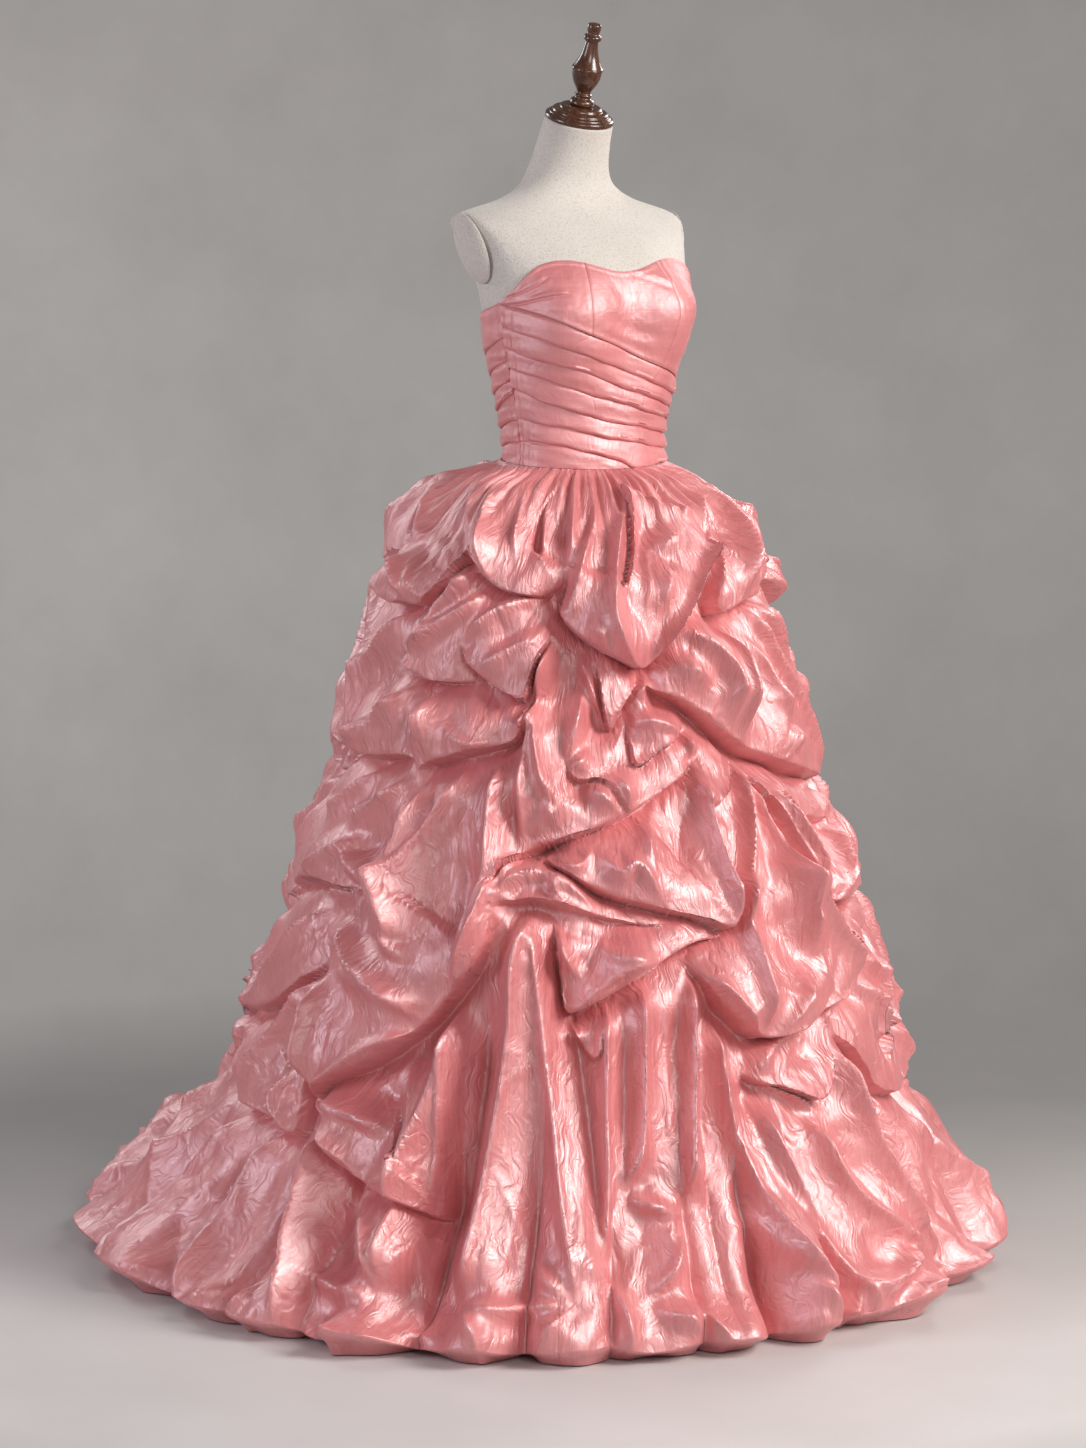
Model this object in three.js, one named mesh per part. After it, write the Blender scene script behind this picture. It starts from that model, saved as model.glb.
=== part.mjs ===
// A strapless ball gown in crisp taffeta on a limbless dress form.
// Millimetres, +Z up. The gown faces -Y and the wearer's left is +X. Angles
// are in degrees round the waist's upright axis: 0 is the centre front, +90 the
// wearer's left, 180 the centre back and -90 the wearer's right.
//
// The cloth is a wall everywhere: sections worked out from the tables below,
// moved inwards by the cloth's thickness. The bodice has a smooth bust in three
// panels, a tucked midriff that crosses from the wearer's right side seam down
// to the left, and two tucked back panels that meet at a covered fastening. The
// skirt has five widths of cloth gathered into the waist. It is picked up at
// many small knots in six staggered tiers, so the cloth between two knots hangs
// as a pouch whose lower edge turns under, and below the last tier it falls
// in upright folds to a floor-length hem with a short train.

import * as THREE from "three";

const rad = THREE.MathUtils.degToRad;

// ---------------------------------------------------------------- sizes, mm
const CLOTH = 2; // thickness of every cloth wall
const MITRE = 0.65; // keeps a wall's inner corner near where cloth turns back
const SEAM = 0.3; // air between two pieces that are sewn together
const EASE = 1.8; // air between the form and the cloth that is worn on it
const WAIST_Z = 1126; // mean height of the waist seam
const WAIST_DIP = 7; // the seam is this much lower in front, and higher behind
const SIDE_SEAM = 80; // degrees from the centre front
const PRINCESS = 28; // degrees from the centre front
const ZIP_HALF = 1.6; // degrees, half the fastening's width
const TUCK_LIFT = 2; // how far a tuck's free edge stands off the one below
const BUST_POINT = 34; // degrees from the centre front
const BUST_SPREAD = 24; // degrees

// ------------------------------------------------------------- dress form
// One row for each level section of the form. half, front and back are its
// half width and its depths from centre; centre is how far its middle lies
// behind the axis; bust is the extra depth at the bust points; flat is where
// the armhole cuts it off (0 means not cut).
const FORM = [
  { z: 905, half: 166, front: 116, back: 128, centre: 0, bust: 0, flat: 0 },
  { z: 960, half: 163, front: 112, back: 126, centre: 0, bust: 0, flat: 0 },
  { z: 1040, half: 140, front: 98, back: 106, centre: 0, bust: 0, flat: 0 },
  { z: 1100, half: 118, front: 88, back: 88, centre: 0, bust: 0, flat: 0 },
  { z: 1135, half: 112, front: 86, back: 82, centre: 0, bust: 0, flat: 0 },
  { z: 1170, half: 113.5, front: 87, back: 84, centre: 0, bust: 0, flat: 0 },
  { z: 1235, half: 127, front: 96, back: 93, centre: 0, bust: 8, flat: 0 },
  { z: 1290, half: 140, front: 104, back: 103, centre: 0, bust: 26, flat: 0 },
  { z: 1335, half: 147, front: 108, back: 109, centre: 0, bust: 34, flat: 0 },
  { z: 1370, half: 152, front: 109, back: 109, centre: 6, bust: 22, flat: 149 },
  { z: 1400, half: 161, front: 108, back: 100, centre: 18, bust: 8, flat: 153 },
  { z: 1430, half: 175, front: 106, back: 84, centre: 38, bust: 2, flat: 160 },
  { z: 1452, half: 184, front: 94, back: 62, centre: 52, bust: 0, flat: 168 },
  { z: 1466, half: 160, front: 78, back: 54, centre: 52, bust: 0, flat: 170 },
  { z: 1482, half: 104, front: 62, back: 52, centre: 47, bust: 0, flat: 0 },
  { z: 1500, half: 70, front: 55, back: 56, centre: 43, bust: 0, flat: 0 },
  { z: 1522, half: 56, front: 52, back: 54, centre: 38, bust: 0, flat: 0 },
  { z: 1560, half: 48.5, front: 48, back: 48, centre: 24, bust: 0, flat: 0 },
  { z: 1590, half: 45.5, front: 45.5, back: 45.5, centre: 11, bust: 0, flat: 0 },
];
const SQUARENESS = 2.15; // 2 would make each section a true ellipse
const NECK_TILT = 17; // degrees that the neck's top leans to the front

// ----------------------------------------------------------------- bodice
// The neckline's height against the angle, the same on both sides.
const NECKLINE = [
  { at: 0, z: 1387 },
  { at: 14, z: 1391 },
  { at: 30, z: 1401 },
  { at: 42, z: 1403 },
  { at: 54, z: 1396 },
  { at: 66, z: 1374 },
  { at: 80, z: 1345 },
  { at: 98, z: 1334 },
  { at: 130, z: 1318 },
  { at: 180, z: 1312 },
];
// The midriff's tucks, top one first: the height of the free edge at the
// wearer's right side seam and at the left one.
const TUCKS = [
  { right: 1345, left: 1229 },
  { right: 1316, left: 1209 },
  { right: 1286, left: 1191 },
  { right: 1257, left: 1175 },
  { right: 1229, left: 1158 },
  { right: 1190, left: 1140 },
];
const TUCK_BOW = 8; // each tuck hangs this far below a straight line
// The back's tucks: the height at the side seam and at the centre back.
const BACK_TUCKS = [
  { side: 1298, centre: 1236 },
  { side: 1267, centre: 1212 },
  { side: 1241, centre: 1192 },
  { side: 1216, centre: 1174 },
  { side: 1188, centre: 1157 },
];

// ------------------------------------------------------------------ skirt
// The skirt's outline: its radius at the front, the side and the back.
const OUTLINE = [
  { z: 2, front: 545, side: 612, back: 850 },
  { z: 60, front: 512, side: 566, back: 770 },
  { z: 127, front: 490, side: 528, back: 700 },
  { z: 280, front: 446, side: 472, back: 578 },
  { z: 365, front: 431, side: 455, back: 530 },
  { z: 550, front: 390, side: 410, back: 460 },
  { z: 700, front: 326, side: 352, back: 402 },
  { z: 830, front: 290, side: 316, back: 352 },
  { z: 930, front: 272, side: 298, back: 338 },
  { z: 1000, front: 246, side: 280, back: 322 },
  { z: 1050, front: 210, side: 240, back: 276 },
  { z: 1080, front: 176, side: 202, back: 236 },
  { z: 1100, front: 140, side: 168, back: 190 },
  { z: 1115, front: 108, side: 138, back: 146 },
];
// The knots where the cloth is picked up, by tier, top tier first. Each row
// is one knot: its angle, its height, how far the pouch between it and the
// next knot hangs below the line between them, and how full that pouch is.
// The rows are half of the skirt; the other half repeats them, turned round.
const PICKUPS = [
  [
    { at: -104, z: 988, drop: 42, full: 1 },
    { at: -72, z: 1004, drop: 28, full: 0.9 },
    { at: -38, z: 1012, drop: 84, full: 1 },
    { at: 17, z: 1004, drop: 34, full: 1 },
    { at: 47, z: 990, drop: 40, full: 0.9 },
  ],
  [
    { at: -94, z: 880, drop: 30, full: 1 },
    { at: -66, z: 874, drop: 38, full: 1 },
    { at: -41, z: 908, drop: 60, full: 0.8 },
    { at: -16, z: 846, drop: 12, full: 0.7 },
    { at: 10, z: 800, drop: 52, full: 1 },
    { at: 52, z: 842, drop: 48, full: 1 },
  ],
  [
    { at: -114, z: 748, drop: 42, full: 1 },
    { at: -82, z: 760, drop: 24, full: 1 },
    { at: -48, z: 776, drop: 70, full: 1 },
    { at: -4, z: 742, drop: 46, full: 0.6 },
    { at: 30, z: 676, drop: 34, full: 0.6 },
  ],
  [
    { at: -124, z: 616, drop: 44, full: 1 },
    { at: -84, z: 590, drop: 30, full: 0.8 },
    { at: -48, z: 644, drop: 58, full: 1 },
    { at: -3, z: 562, drop: 16, full: 0.6 },
    { at: 26, z: 574, drop: 38, full: 1 },
  ],
  [
    { at: -116, z: 440, drop: 46, full: 1 },
    { at: -88, z: 466, drop: 34, full: 1 },
    { at: -57, z: 486, drop: 26, full: 0.8 },
    { at: -40, z: 540, drop: 74, full: 1 },
    { at: -11, z: 500, drop: 70, full: 1 },
    { at: 31, z: 452, drop: 40, full: 1 },
  ],
  [
    { at: -118, z: 318, drop: 56, full: 1 },
    { at: -86, z: 316, drop: 60, full: 1 },
    { at: -55, z: 268, drop: 10, full: 0.5 },
    { at: -34, z: 352, drop: 28, full: 0.7 },
    { at: -3, z: 336, drop: 32, full: 1 },
    { at: 33, z: 338, drop: 50, full: 1 },
  ],
];
const PUFF = 16; // a full pouch stands this far outside the outline
const PINCH = 20; // a knot lies this far inside it
const TURN = { in: 22, down: 4 }; // how a full pouch's lower edge turns under
const BELLY = 0.16; // how round a pouch is, as a share of its height
const TIER_GAP = 44; // at least this much cloth shows between two edges
// The lower skirt: share of the way from the last tier to the hem, and the
// depth of the upright folds there.
const FALL = [
  { share: 0.25, fold: 12 },
  { share: 0.5, fold: 18 },
  { share: 0.78, fold: 23 },
  { share: 1, fold: 25 },
];
const FOLDS = 14; // upright folds round the skirt
const HEM_Z = 3; // the hem just clears the floor
const COLUMNS = 10; // facets across one width of the skirt
const BELLY_ROWS = 2; // sections across a pouch

// ------------------------------------------------------------------- stand
const BASE = { radius: 190, thick: 16, edge: 5 };
const POLE = { radius: 15, collar: 34, collarHigh: 22 };
const PLATE = { thick: 3, share: 0.9 }; // the disc that closes an armhole
const CAP = [
  // the turned neck cap, from its foot up
  { r: 46.5, z: 0 },
  { r: 47.5, z: 3 },
  { r: 46.5, z: 6.5 },
  { r: 43, z: 8.5 },
  { r: 39, z: 9.5 },
  { r: 38.5, z: 12.5 },
  { r: 35, z: 14.5 },
  { r: 29, z: 15.5 },
  { r: 28, z: 18.5 },
  { r: 24, z: 20.5 },
  { r: 17, z: 21 },
];
const FINIAL = [
  { r: 15, z: 0 },
  { r: 16.5, z: 4 },
  { r: 15, z: 8.5 },
  { r: 11, z: 10.5 },
  { r: 10.5, z: 13 },
  { r: 11.5, z: 15 },
  { r: 9.5, z: 18 },
  { r: 13, z: 24 },
  { r: 18.5, z: 34 },
  { r: 20.5, z: 46 },
  { r: 20.5, z: 50 },
  { r: 21.5, z: 52 },
  { r: 20, z: 55 },
  { r: 15.5, z: 62 },
  { r: 11.5, z: 72 },
  { r: 9, z: 86 },
  { r: 8.5, z: 90 },
  { r: 11.5, z: 92 },
  { r: 12.5, z: 96 },
  { r: 11, z: 100 },
  { r: 8, z: 102 },
  { r: 9.5, z: 109 },
  { r: 9, z: 114 },
];

// ------------------------------------------------------------------- maths
const clamp = (x, lo, hi) => Math.min(hi, Math.max(lo, x));
const mix = (a, b, t) => a + (b - a) * t;
const ease = (t) => (1 - Math.cos(Math.PI * clamp(t, 0, 1))) / 2;

// A table's columns at a place along its key column.
function along(table, key, at, smooth = false) {
  let i = 0;
  while (i < table.length - 2 && at > table[i + 1][key]) i++;
  const a = table[i],
    b = table[i + 1];
  let t = clamp((at - a[key]) / (b[key] - a[key]), 0, 1);
  if (smooth) t = ease(t);
  const row = {};
  for (const k of Object.keys(a)) row[k] = mix(a[k], b[k], t);
  return row;
}
// The same, along a smooth curve through the table's rows.
function curve(table, key, at) {
  let i = 0;
  while (i < table.length - 2 && at > table[i + 1][key]) i++;
  const a = table[i],
    b = table[i + 1],
    size = b[key] - a[key],
    t = clamp((at - a[key]) / size, 0, 1);
  const slope = (j, k) => {
    const lo = table[Math.max(j - 1, 0)],
      hi = table[Math.min(j + 1, table.length - 1)];
    return (hi[k] - lo[k]) / (hi[key] - lo[key]);
  };
  const row = {};
  for (const k of Object.keys(a))
    row[k] =
      (2 * t ** 3 - 3 * t ** 2 + 1) * a[k] +
      (t ** 3 - 2 * t ** 2 + t) * size * slope(i, k) +
      (-2 * t ** 3 + 3 * t ** 2) * b[k] +
      (t ** 3 - t ** 2) * size * slope(i + 1, k);
  return row;
}
const turned = (deg) => ((((deg + 180) % 360) + 360) % 360) - 180;

// ------------------------------------------------------- form and bodice
function formRadius(deg, z) {
  const s = curve(FORM, "z", z),
    sin = Math.abs(Math.sin(rad(deg))),
    cos = Math.cos(rad(deg));
  const depth = cos > 0 ? s.front : s.back;
  let r =
    ((sin / s.half) ** SQUARENESS + (Math.abs(cos) / depth) ** SQUARENESS) **
    (-1 / SQUARENESS);
  const d = turned(deg);
  for (const side of [-1, 1])
    r += s.bust * Math.exp(-(((d - side * BUST_POINT) / BUST_SPREAD) ** 2));
  return { r, centre: s.centre, flat: along(FORM, "z", z).flat };
}
// A point of the form's surface, moved out by off.
function formPoint(deg, z, off = 0, cut = false) {
  const s = formRadius(deg, z);
  let x = (s.r + off) * Math.sin(rad(deg));
  const y = s.centre - (s.r + off) * Math.cos(rad(deg));
  if (cut && s.flat > 120) x = clamp(x, -s.flat, s.flat);
  return new THREE.Vector3(x, y, z);
}
const waistZ = (deg) => WAIST_Z - WAIST_DIP * Math.cos(rad(deg));
const neckZ = (deg) => along(NECKLINE, "at", Math.abs(turned(deg)), true).z;
function tuckZ(k, deg) {
  const t = (deg + SIDE_SEAM) / (2 * SIDE_SEAM),
    row = TUCKS[k];
  const fade = k === 0 ? 1 : 0.8;
  return mix(row.right, row.left, t) - TUCK_BOW * fade * Math.sin(Math.PI * t);
}
function backTuckZ(k, deg) {
  const t = (Math.abs(turned(deg)) - SIDE_SEAM) / (180 - SIDE_SEAM);
  return mix(BACK_TUCKS[k].side, BACK_TUCKS[k].centre, ease(t * 0.5) * 2 * 0.5 + t * 0.5);
}

// ---------------------------------------------------------- closed walls
// rows[j][i] is the outer face of a piece of cloth, the angle growing with i
// and the height falling with j. The wall's inner face lies CLOTH inside it,
// along the surface's own direction. Its two upright ends stay in the upright
// planes at the angles from and to, so that two pieces keep their gap.
function wall(rows, from, to, thick = CLOTH) {
  const nj = rows.length,
    ni = rows[0].length,
    inner = [];
  const planes = [from, to].map(
    (deg) => new THREE.Vector3(Math.cos(rad(deg)), Math.sin(rad(deg)), 0),
  );
  for (let j = 0; j < nj; j++) {
    inner.push([]);
    for (let i = 0; i < ni; i++) {
      const here = rows[j][i];
      const across = rows[j][Math.min(i + 1, ni - 1)]
        .clone()
        .sub(rows[j][Math.max(i - 1, 0)]);
      // the cloth's way down, halfway between the slopes above and below
      const down = new THREE.Vector3();
      if (j > 0) down.add(here.clone().sub(rows[j - 1][i]).normalize());
      if (j < nj - 1) down.add(rows[j + 1][i].clone().sub(here).normalize());
      const bend = j > 0 && j < nj - 1 ? down.length() / 2 : 1;
      const out = down.cross(across);
      if (i === 0) out.projectOnPlane(planes[0]);
      if (i === ni - 1) out.projectOnPlane(planes[1]);
      out.normalize();
      inner[j].push(
        here.clone().addScaledVector(out, -thick / Math.max(bend, MITRE)),
      );
    }
  }
  return closed(rows, inner);
}
// The wall between an outer and an inner face of like rows.
function closed(rows, inner) {
  const nj = rows.length,
    ni = rows[0].length,
    points = [],
    faces = [];
  for (const layer of [rows, inner])
    for (const row of layer) for (const p of row) points.push(p.x, p.y, p.z);
  const at = (layer, j, i) => layer * ni * nj + j * ni + i;
  const quad = (a, b, c, d) => faces.push(a, b, c, a, c, d);
  for (let j = 0; j < nj - 1; j++)
    for (let i = 0; i < ni - 1; i++) {
      quad(at(0, j, i), at(0, j + 1, i), at(0, j + 1, i + 1), at(0, j, i + 1));
      quad(at(1, j, i), at(1, j, i + 1), at(1, j + 1, i + 1), at(1, j + 1, i));
    }
  for (let i = 0; i < ni - 1; i++) {
    quad(at(0, 0, i), at(0, 0, i + 1), at(1, 0, i + 1), at(1, 0, i));
    quad(
      at(0, nj - 1, i + 1),
      at(0, nj - 1, i),
      at(1, nj - 1, i),
      at(1, nj - 1, i + 1),
    );
  }
  for (let j = 0; j < nj - 1; j++) {
    quad(at(0, j + 1, 0), at(0, j, 0), at(1, j, 0), at(1, j + 1, 0));
    quad(
      at(0, j, ni - 1),
      at(0, j + 1, ni - 1),
      at(1, j + 1, ni - 1),
      at(1, j, ni - 1),
    );
  }
  const g = new THREE.BufferGeometry();
  g.setAttribute("position", new THREE.Float32BufferAttribute(points, 3));
  g.setIndex(faces);
  g.computeVertexNormals();
  return g;
}
// A closed solid through level rings, the lowest first.
function loft(rings) {
  const n = rings[0].length,
    points = [],
    faces = [];
  for (const ring of rings) for (const p of ring) points.push(p.x, p.y, p.z);
  const ends = [rings[0], rings[rings.length - 1]].map((ring) => {
    const c = new THREE.Vector3();
    for (const p of ring) c.addScaledVector(p, 1 / n);
    points.push(c.x, c.y, c.z);
    return points.length / 3 - 1;
  });
  for (let j = 0; j < rings.length - 1; j++)
    for (let i = 0; i < n; i++) {
      const k = (i + 1) % n,
        a = j * n + i,
        b = j * n + k,
        c = (j + 1) * n + k,
        d = (j + 1) * n + i;
      faces.push(a, b, c, a, c, d);
    }
  const top = (rings.length - 1) * n;
  for (let i = 0; i < n; i++) {
    const k = (i + 1) % n;
    faces.push(ends[0], k, i, ends[1], top + i, top + k);
  }
  const g = new THREE.BufferGeometry();
  g.setAttribute("position", new THREE.Float32BufferAttribute(points, 3));
  g.setIndex(faces);
  g.computeVertexNormals();
  return g;
}

// ------------------------------------------------------------ materials
const taffeta = new THREE.MeshStandardMaterial({
  color: 0xd9787c,
  roughness: 0.38,
  metalness: 0,
  side: THREE.DoubleSide,
});
const canvas = new THREE.MeshStandardMaterial({
  color: 0xe9e1d6,
  roughness: 0.92,
  metalness: 0,
});
const wood = new THREE.MeshStandardMaterial({
  color: 0x4a2a1c,
  roughness: 0.35,
  metalness: 0,
});
const steel = new THREE.MeshStandardMaterial({
  color: 0x8b8b8c,
  roughness: 0.35,
  metalness: 1,
});

const gown = new THREE.Group();
const form = new THREE.Group();
const part = new THREE.Group();
part.add(gown, form);
function add(group, name, geometry, material) {
  const mesh = new THREE.Mesh(geometry, material);
  mesh.name = name;
  group.add(mesh);
  return mesh;
}

// ------------------------------------------------------------ bust panels
const BODICE_OFF = EASE + CLOTH;
// how many degrees of the bodice SEAM is, at a mean radius
const SEAM_DEG = (SEAM / 2 / 120) * (180 / Math.PI);
function bustRows(from, to, columns) {
  const rows = [],
    levels = 8;
  for (let j = 0; j <= levels; j++) {
    rows.push([]);
    for (let i = 0; i <= columns; i++) {
      const deg = mix(from, to, i / columns);
      const foot = tuckZ(0, deg) + TUCK_LIFT + SEAM;
      const z = mix(Math.max(neckZ(deg), foot + 3), foot, j / levels);
      rows[j].push(formPoint(deg, z, BODICE_OFF + 0.4));
    }
  }
  return rows;
}
for (const [name, from, to, columns] of [
  ["bust_centre", -PRINCESS, PRINCESS, 8],
  ["bust_side_right", -SIDE_SEAM, -PRINCESS, 7],
  ["bust_side_left", PRINCESS, SIDE_SEAM, 7],
]) {
  const rows = bustRows(from + SEAM_DEG, to - SEAM_DEG, columns);
  add(gown, name, wall(rows, from, to), taffeta);
}

// ---------------------------------------------------------- tucked panels
// Each tuck is full at its free edge, which is its lower one, and steps in
// to the tuck below it. The panel's inner face is plain, on the form's curve.
function tuckedWall(from, to, columns, lines, foot) {
  const rows = [],
    back = [];
  for (let k = 0; k < lines.length; k++)
    for (const [share, lift] of [
      [0.04, 0.55],
      [0.55, 0.45],
      [0.94, 1],
    ]) {
      const row = [],
        plain = [];
      for (let i = 0; i <= columns; i++) {
        const deg = mix(from, to, i / columns);
        const top = lines[k](deg),
          low = k + 1 < lines.length ? lines[k + 1](deg) : foot(deg);
        const z = mix(top, low, share);
        row.push(formPoint(deg, z, BODICE_OFF + TUCK_LIFT * lift));
        plain.push(formPoint(deg, z, EASE));
      }
      rows.push(row);
      back.push(plain);
    }
  const ends = [
    [lines[0], 0],
    [foot, 0.3],
  ].map(([line, lift]) =>
    [BODICE_OFF + TUCK_LIFT * lift, EASE].map((off) =>
      Array.from({ length: columns + 1 }, (_, i) => {
        const deg = mix(from, to, i / columns);
        return formPoint(deg, line(deg), off);
      }),
    ),
  );
  return closed(
    [ends[0][0], ...rows, ends[1][0]],
    [ends[0][1], ...back, ends[1][1]],
  );
}
const bodiceFoot = (deg) => waistZ(deg) + SEAM / 2;
add(
  gown,
  "midriff_front",
  tuckedWall(
    -SIDE_SEAM + SEAM_DEG,
    SIDE_SEAM - SEAM_DEG,
    17,
    TUCKS.map((_, k) => (deg) => tuckZ(k, deg)),
    bodiceFoot,
  ),
  taffeta,
);
for (const [name, side] of [
  ["back_left", 1],
  ["back_right", -1],
]) {
  const near = SIDE_SEAM + SEAM_DEG,
    far = 180 - ZIP_HALF - SEAM_DEG;
  const [from, to] = side > 0 ? [near, far] : [-far, -near];
  const lines = [
    (deg) => neckZ(deg),
    ...BACK_TUCKS.map((_, k) => (deg) => backTuckZ(k, deg)),
  ];
  add(gown, name, tuckedWall(from, to, 9, lines, bodiceFoot), taffeta);
}
// The covered fastening at the centre back, a narrow strip over the teeth.
{
  const rows = [];
  for (let j = 0; j <= 6; j++) {
    const z = mix(neckZ(180) - 1, bodiceFoot(180) + 1, j / 6);
    rows.push(
      [-1, -0.35, 0.35, 1].map((s) =>
        formPoint(
          180 + s * (ZIP_HALF - SEAM_DEG),
          z,
          BODICE_OFF + 0.6 * (1 - Math.abs(s)),
        ),
      ),
    );
  }
  add(gown, "back_zip", wall(rows, 180 - ZIP_HALF, 180 + ZIP_HALF, 1.6), taffeta);
}

// ------------------------------------------------------------------ skirt
function outline(deg, z) {
  const s = along(OUTLINE, "z", z),
    cos = Math.cos(rad(deg));
  const end = cos > 0 ? s.front : s.back;
  return mix(s.side, end, cos * cos);
}
// A tier's lower edge at an angle: its height, and how full the pouch is
// there, 0 at a knot and 1 in the middle of a full pouch.
function tierEdge(k, deg) {
  const half = PICKUPS[k];
  const knots = [];
  for (const turn of [-360, -180, 0, 180, 360])
    for (const row of half) knots.push({ ...row, at: row.at + turn });
  knots.sort((a, b) => a.at - b.at);
  let i = 0;
  while (i < knots.length - 2 && deg > knots[i + 1].at) i++;
  const a = knots[i],
    b = knots[i + 1],
    t = clamp((deg - a.at) / (b.at - a.at), 0, 1);
  const swag = Math.sin(Math.PI * t);
  return {
    z: mix(a.z, b.z, t) - a.drop * swag,
    full: a.full * swag,
  };
}
const edges = (deg) => {
  const list = PICKUPS.map((_, k) => tierEdge(k, deg));
  // no tier's edge rises into the one above it
  for (let k = 1; k < list.length; k++)
    list[k].z = Math.min(list[k].z, list[k - 1].z - TIER_GAP);
  return list;
};
const foldAt = (deg) =>
  0.62 * Math.cos(rad(FOLDS * deg + 25 * Math.sin(rad(2 * deg)))) +
  0.38 * Math.cos(rad((FOLDS - 6) * deg + 70));
// One upright line of the skirt, from the waist seam to the hem.
function skirtLine(deg) {
  const at = (r, z) =>
    new THREE.Vector3(r * Math.sin(rad(deg)), -r * Math.cos(rad(deg)), z);
  const list = edges(deg),
    points = [];
  const seam = formPoint(deg, waistZ(deg), BODICE_OFF + TUCK_LIFT * 0.3);
  seam.z = waistZ(deg) - SEAM / 2;
  points.push(seam);
  let r0 = Math.hypot(seam.x, seam.y),
    z0 = seam.z;
  list.forEach((e, k) => {
    const size = z0 - e.z;
    const r1 = outline(deg, e.z) + PUFF * e.full - PINCH * (1 - e.full);
    for (let n = 1; n <= BELLY_ROWS; n++) {
      const t = n / (BELLY_ROWS + 0.45);
      const z = mix(z0, e.z, t);
      // the outline rules a pouch's shape; its cloth swells a little past it
      const straight = mix(r0, r1, t);
      const swell = BELLY * size * Math.sin(Math.PI * t) * (0.35 + 0.65 * e.full);
      const shaped = k === 0 ? outline(deg, z) - 6 : straight + swell;
      const fold = foldAt(deg) * mix(3, 9, clamp(k / 5, 0, 1)) * t;
      points.push(at(shaped + fold, z));
    }
    const f = e.full;
    points.push(at(r1, e.z));
    r0 = r1 - mix(2, TURN.in, f);
    z0 = e.z - mix(10, TURN.down, f);
    points.push(at(r0, z0));
  });
  for (const row of FALL) {
    const z = mix(list[list.length - 1].z - 12, HEM_Z, row.share);
    const free = outline(deg, z) - PINCH * (1 - row.share) * 0.7;
    points.push(at(free + row.fold * foldAt(deg), z));
  }
  return points;
}
const WIDTHS = [
  { name: "skirt_front", from: -36, to: 36 },
  { name: "skirt_side_left", from: 36, to: 108 },
  { name: "skirt_back_left", from: 108, to: 180 },
  { name: "skirt_back_right", from: 180, to: 252 },
  { name: "skirt_side_right", from: 252, to: 324 },
];
// Half of SEAM, sideways, at each end of a width.
function trimmed(points, deg, side) {
  const across = new THREE.Vector3(Math.cos(rad(deg)), Math.sin(rad(deg)), 0);
  return points.map((p) => p.clone().addScaledVector(across, (side * SEAM) / 2));
}
for (const w of WIDTHS) {
  const lines = [];
  for (let i = 0; i <= COLUMNS; i++) {
    const deg = mix(w.from, w.to, i / COLUMNS);
    let line = skirtLine(deg);
    if (i === 0) line = trimmed(line, deg, 1);
    if (i === COLUMNS) line = trimmed(line, deg, -1);
    lines.push(line);
  }
  const rows = lines[0].map((_, j) => lines.map((line) => line[j]));
  add(gown, w.name, wall(rows, w.from, w.to), taffeta);
}

// ------------------------------------------------------------- dress form
{
  const sides = 40,
    levels = [];
  for (let i = 0; i < FORM.length; i++) {
    levels.push(FORM[i].z);
    if (i > 4 && i < 15) levels.push((FORM[i].z + FORM[i + 1].z) / 2);
  }
  const top = FORM[FORM.length - 1];
  const rings = levels.map((z) => {
    const ring = [];
    for (let i = 0; i < sides; i++) {
      const p = formPoint((360 * i) / sides, z, 0, true);
      // the neck's top leans to the front, in step with the cap on it
      const lean = clamp((z - 1500) / (top.z - 1500), 0, 1);
      p.z += lean * Math.tan(rad(NECK_TILT)) * (p.y - curve(FORM, "z", z).centre);
      ring.push(p);
    }
    return ring;
  });
  add(form, "form_torso", loft(rings), canvas);

  const head = new THREE.Group(); // what stands on the sloping neck
  head.position.set(0, top.centre, top.z);
  head.rotation.x = rad(NECK_TILT);
  form.add(head);
  const turnedWood = (name, profile, lift) => {
    const outline = [
      new THREE.Vector2(0, profile[0].z),
      ...profile.map((p) => new THREE.Vector2(p.r, p.z)),
      new THREE.Vector2(0, profile[profile.length - 1].z),
    ];
    const g = new THREE.LatheGeometry(outline, 28);
    g.rotateX(Math.PI / 2);
    const mesh = add(head, name, g, wood);
    mesh.position.z = lift;
  };
  turnedWood("neck_cap", CAP, SEAM);
  turnedWood("finial", FINIAL, SEAM + CAP[CAP.length - 1].z + SEAM);
}
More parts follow.
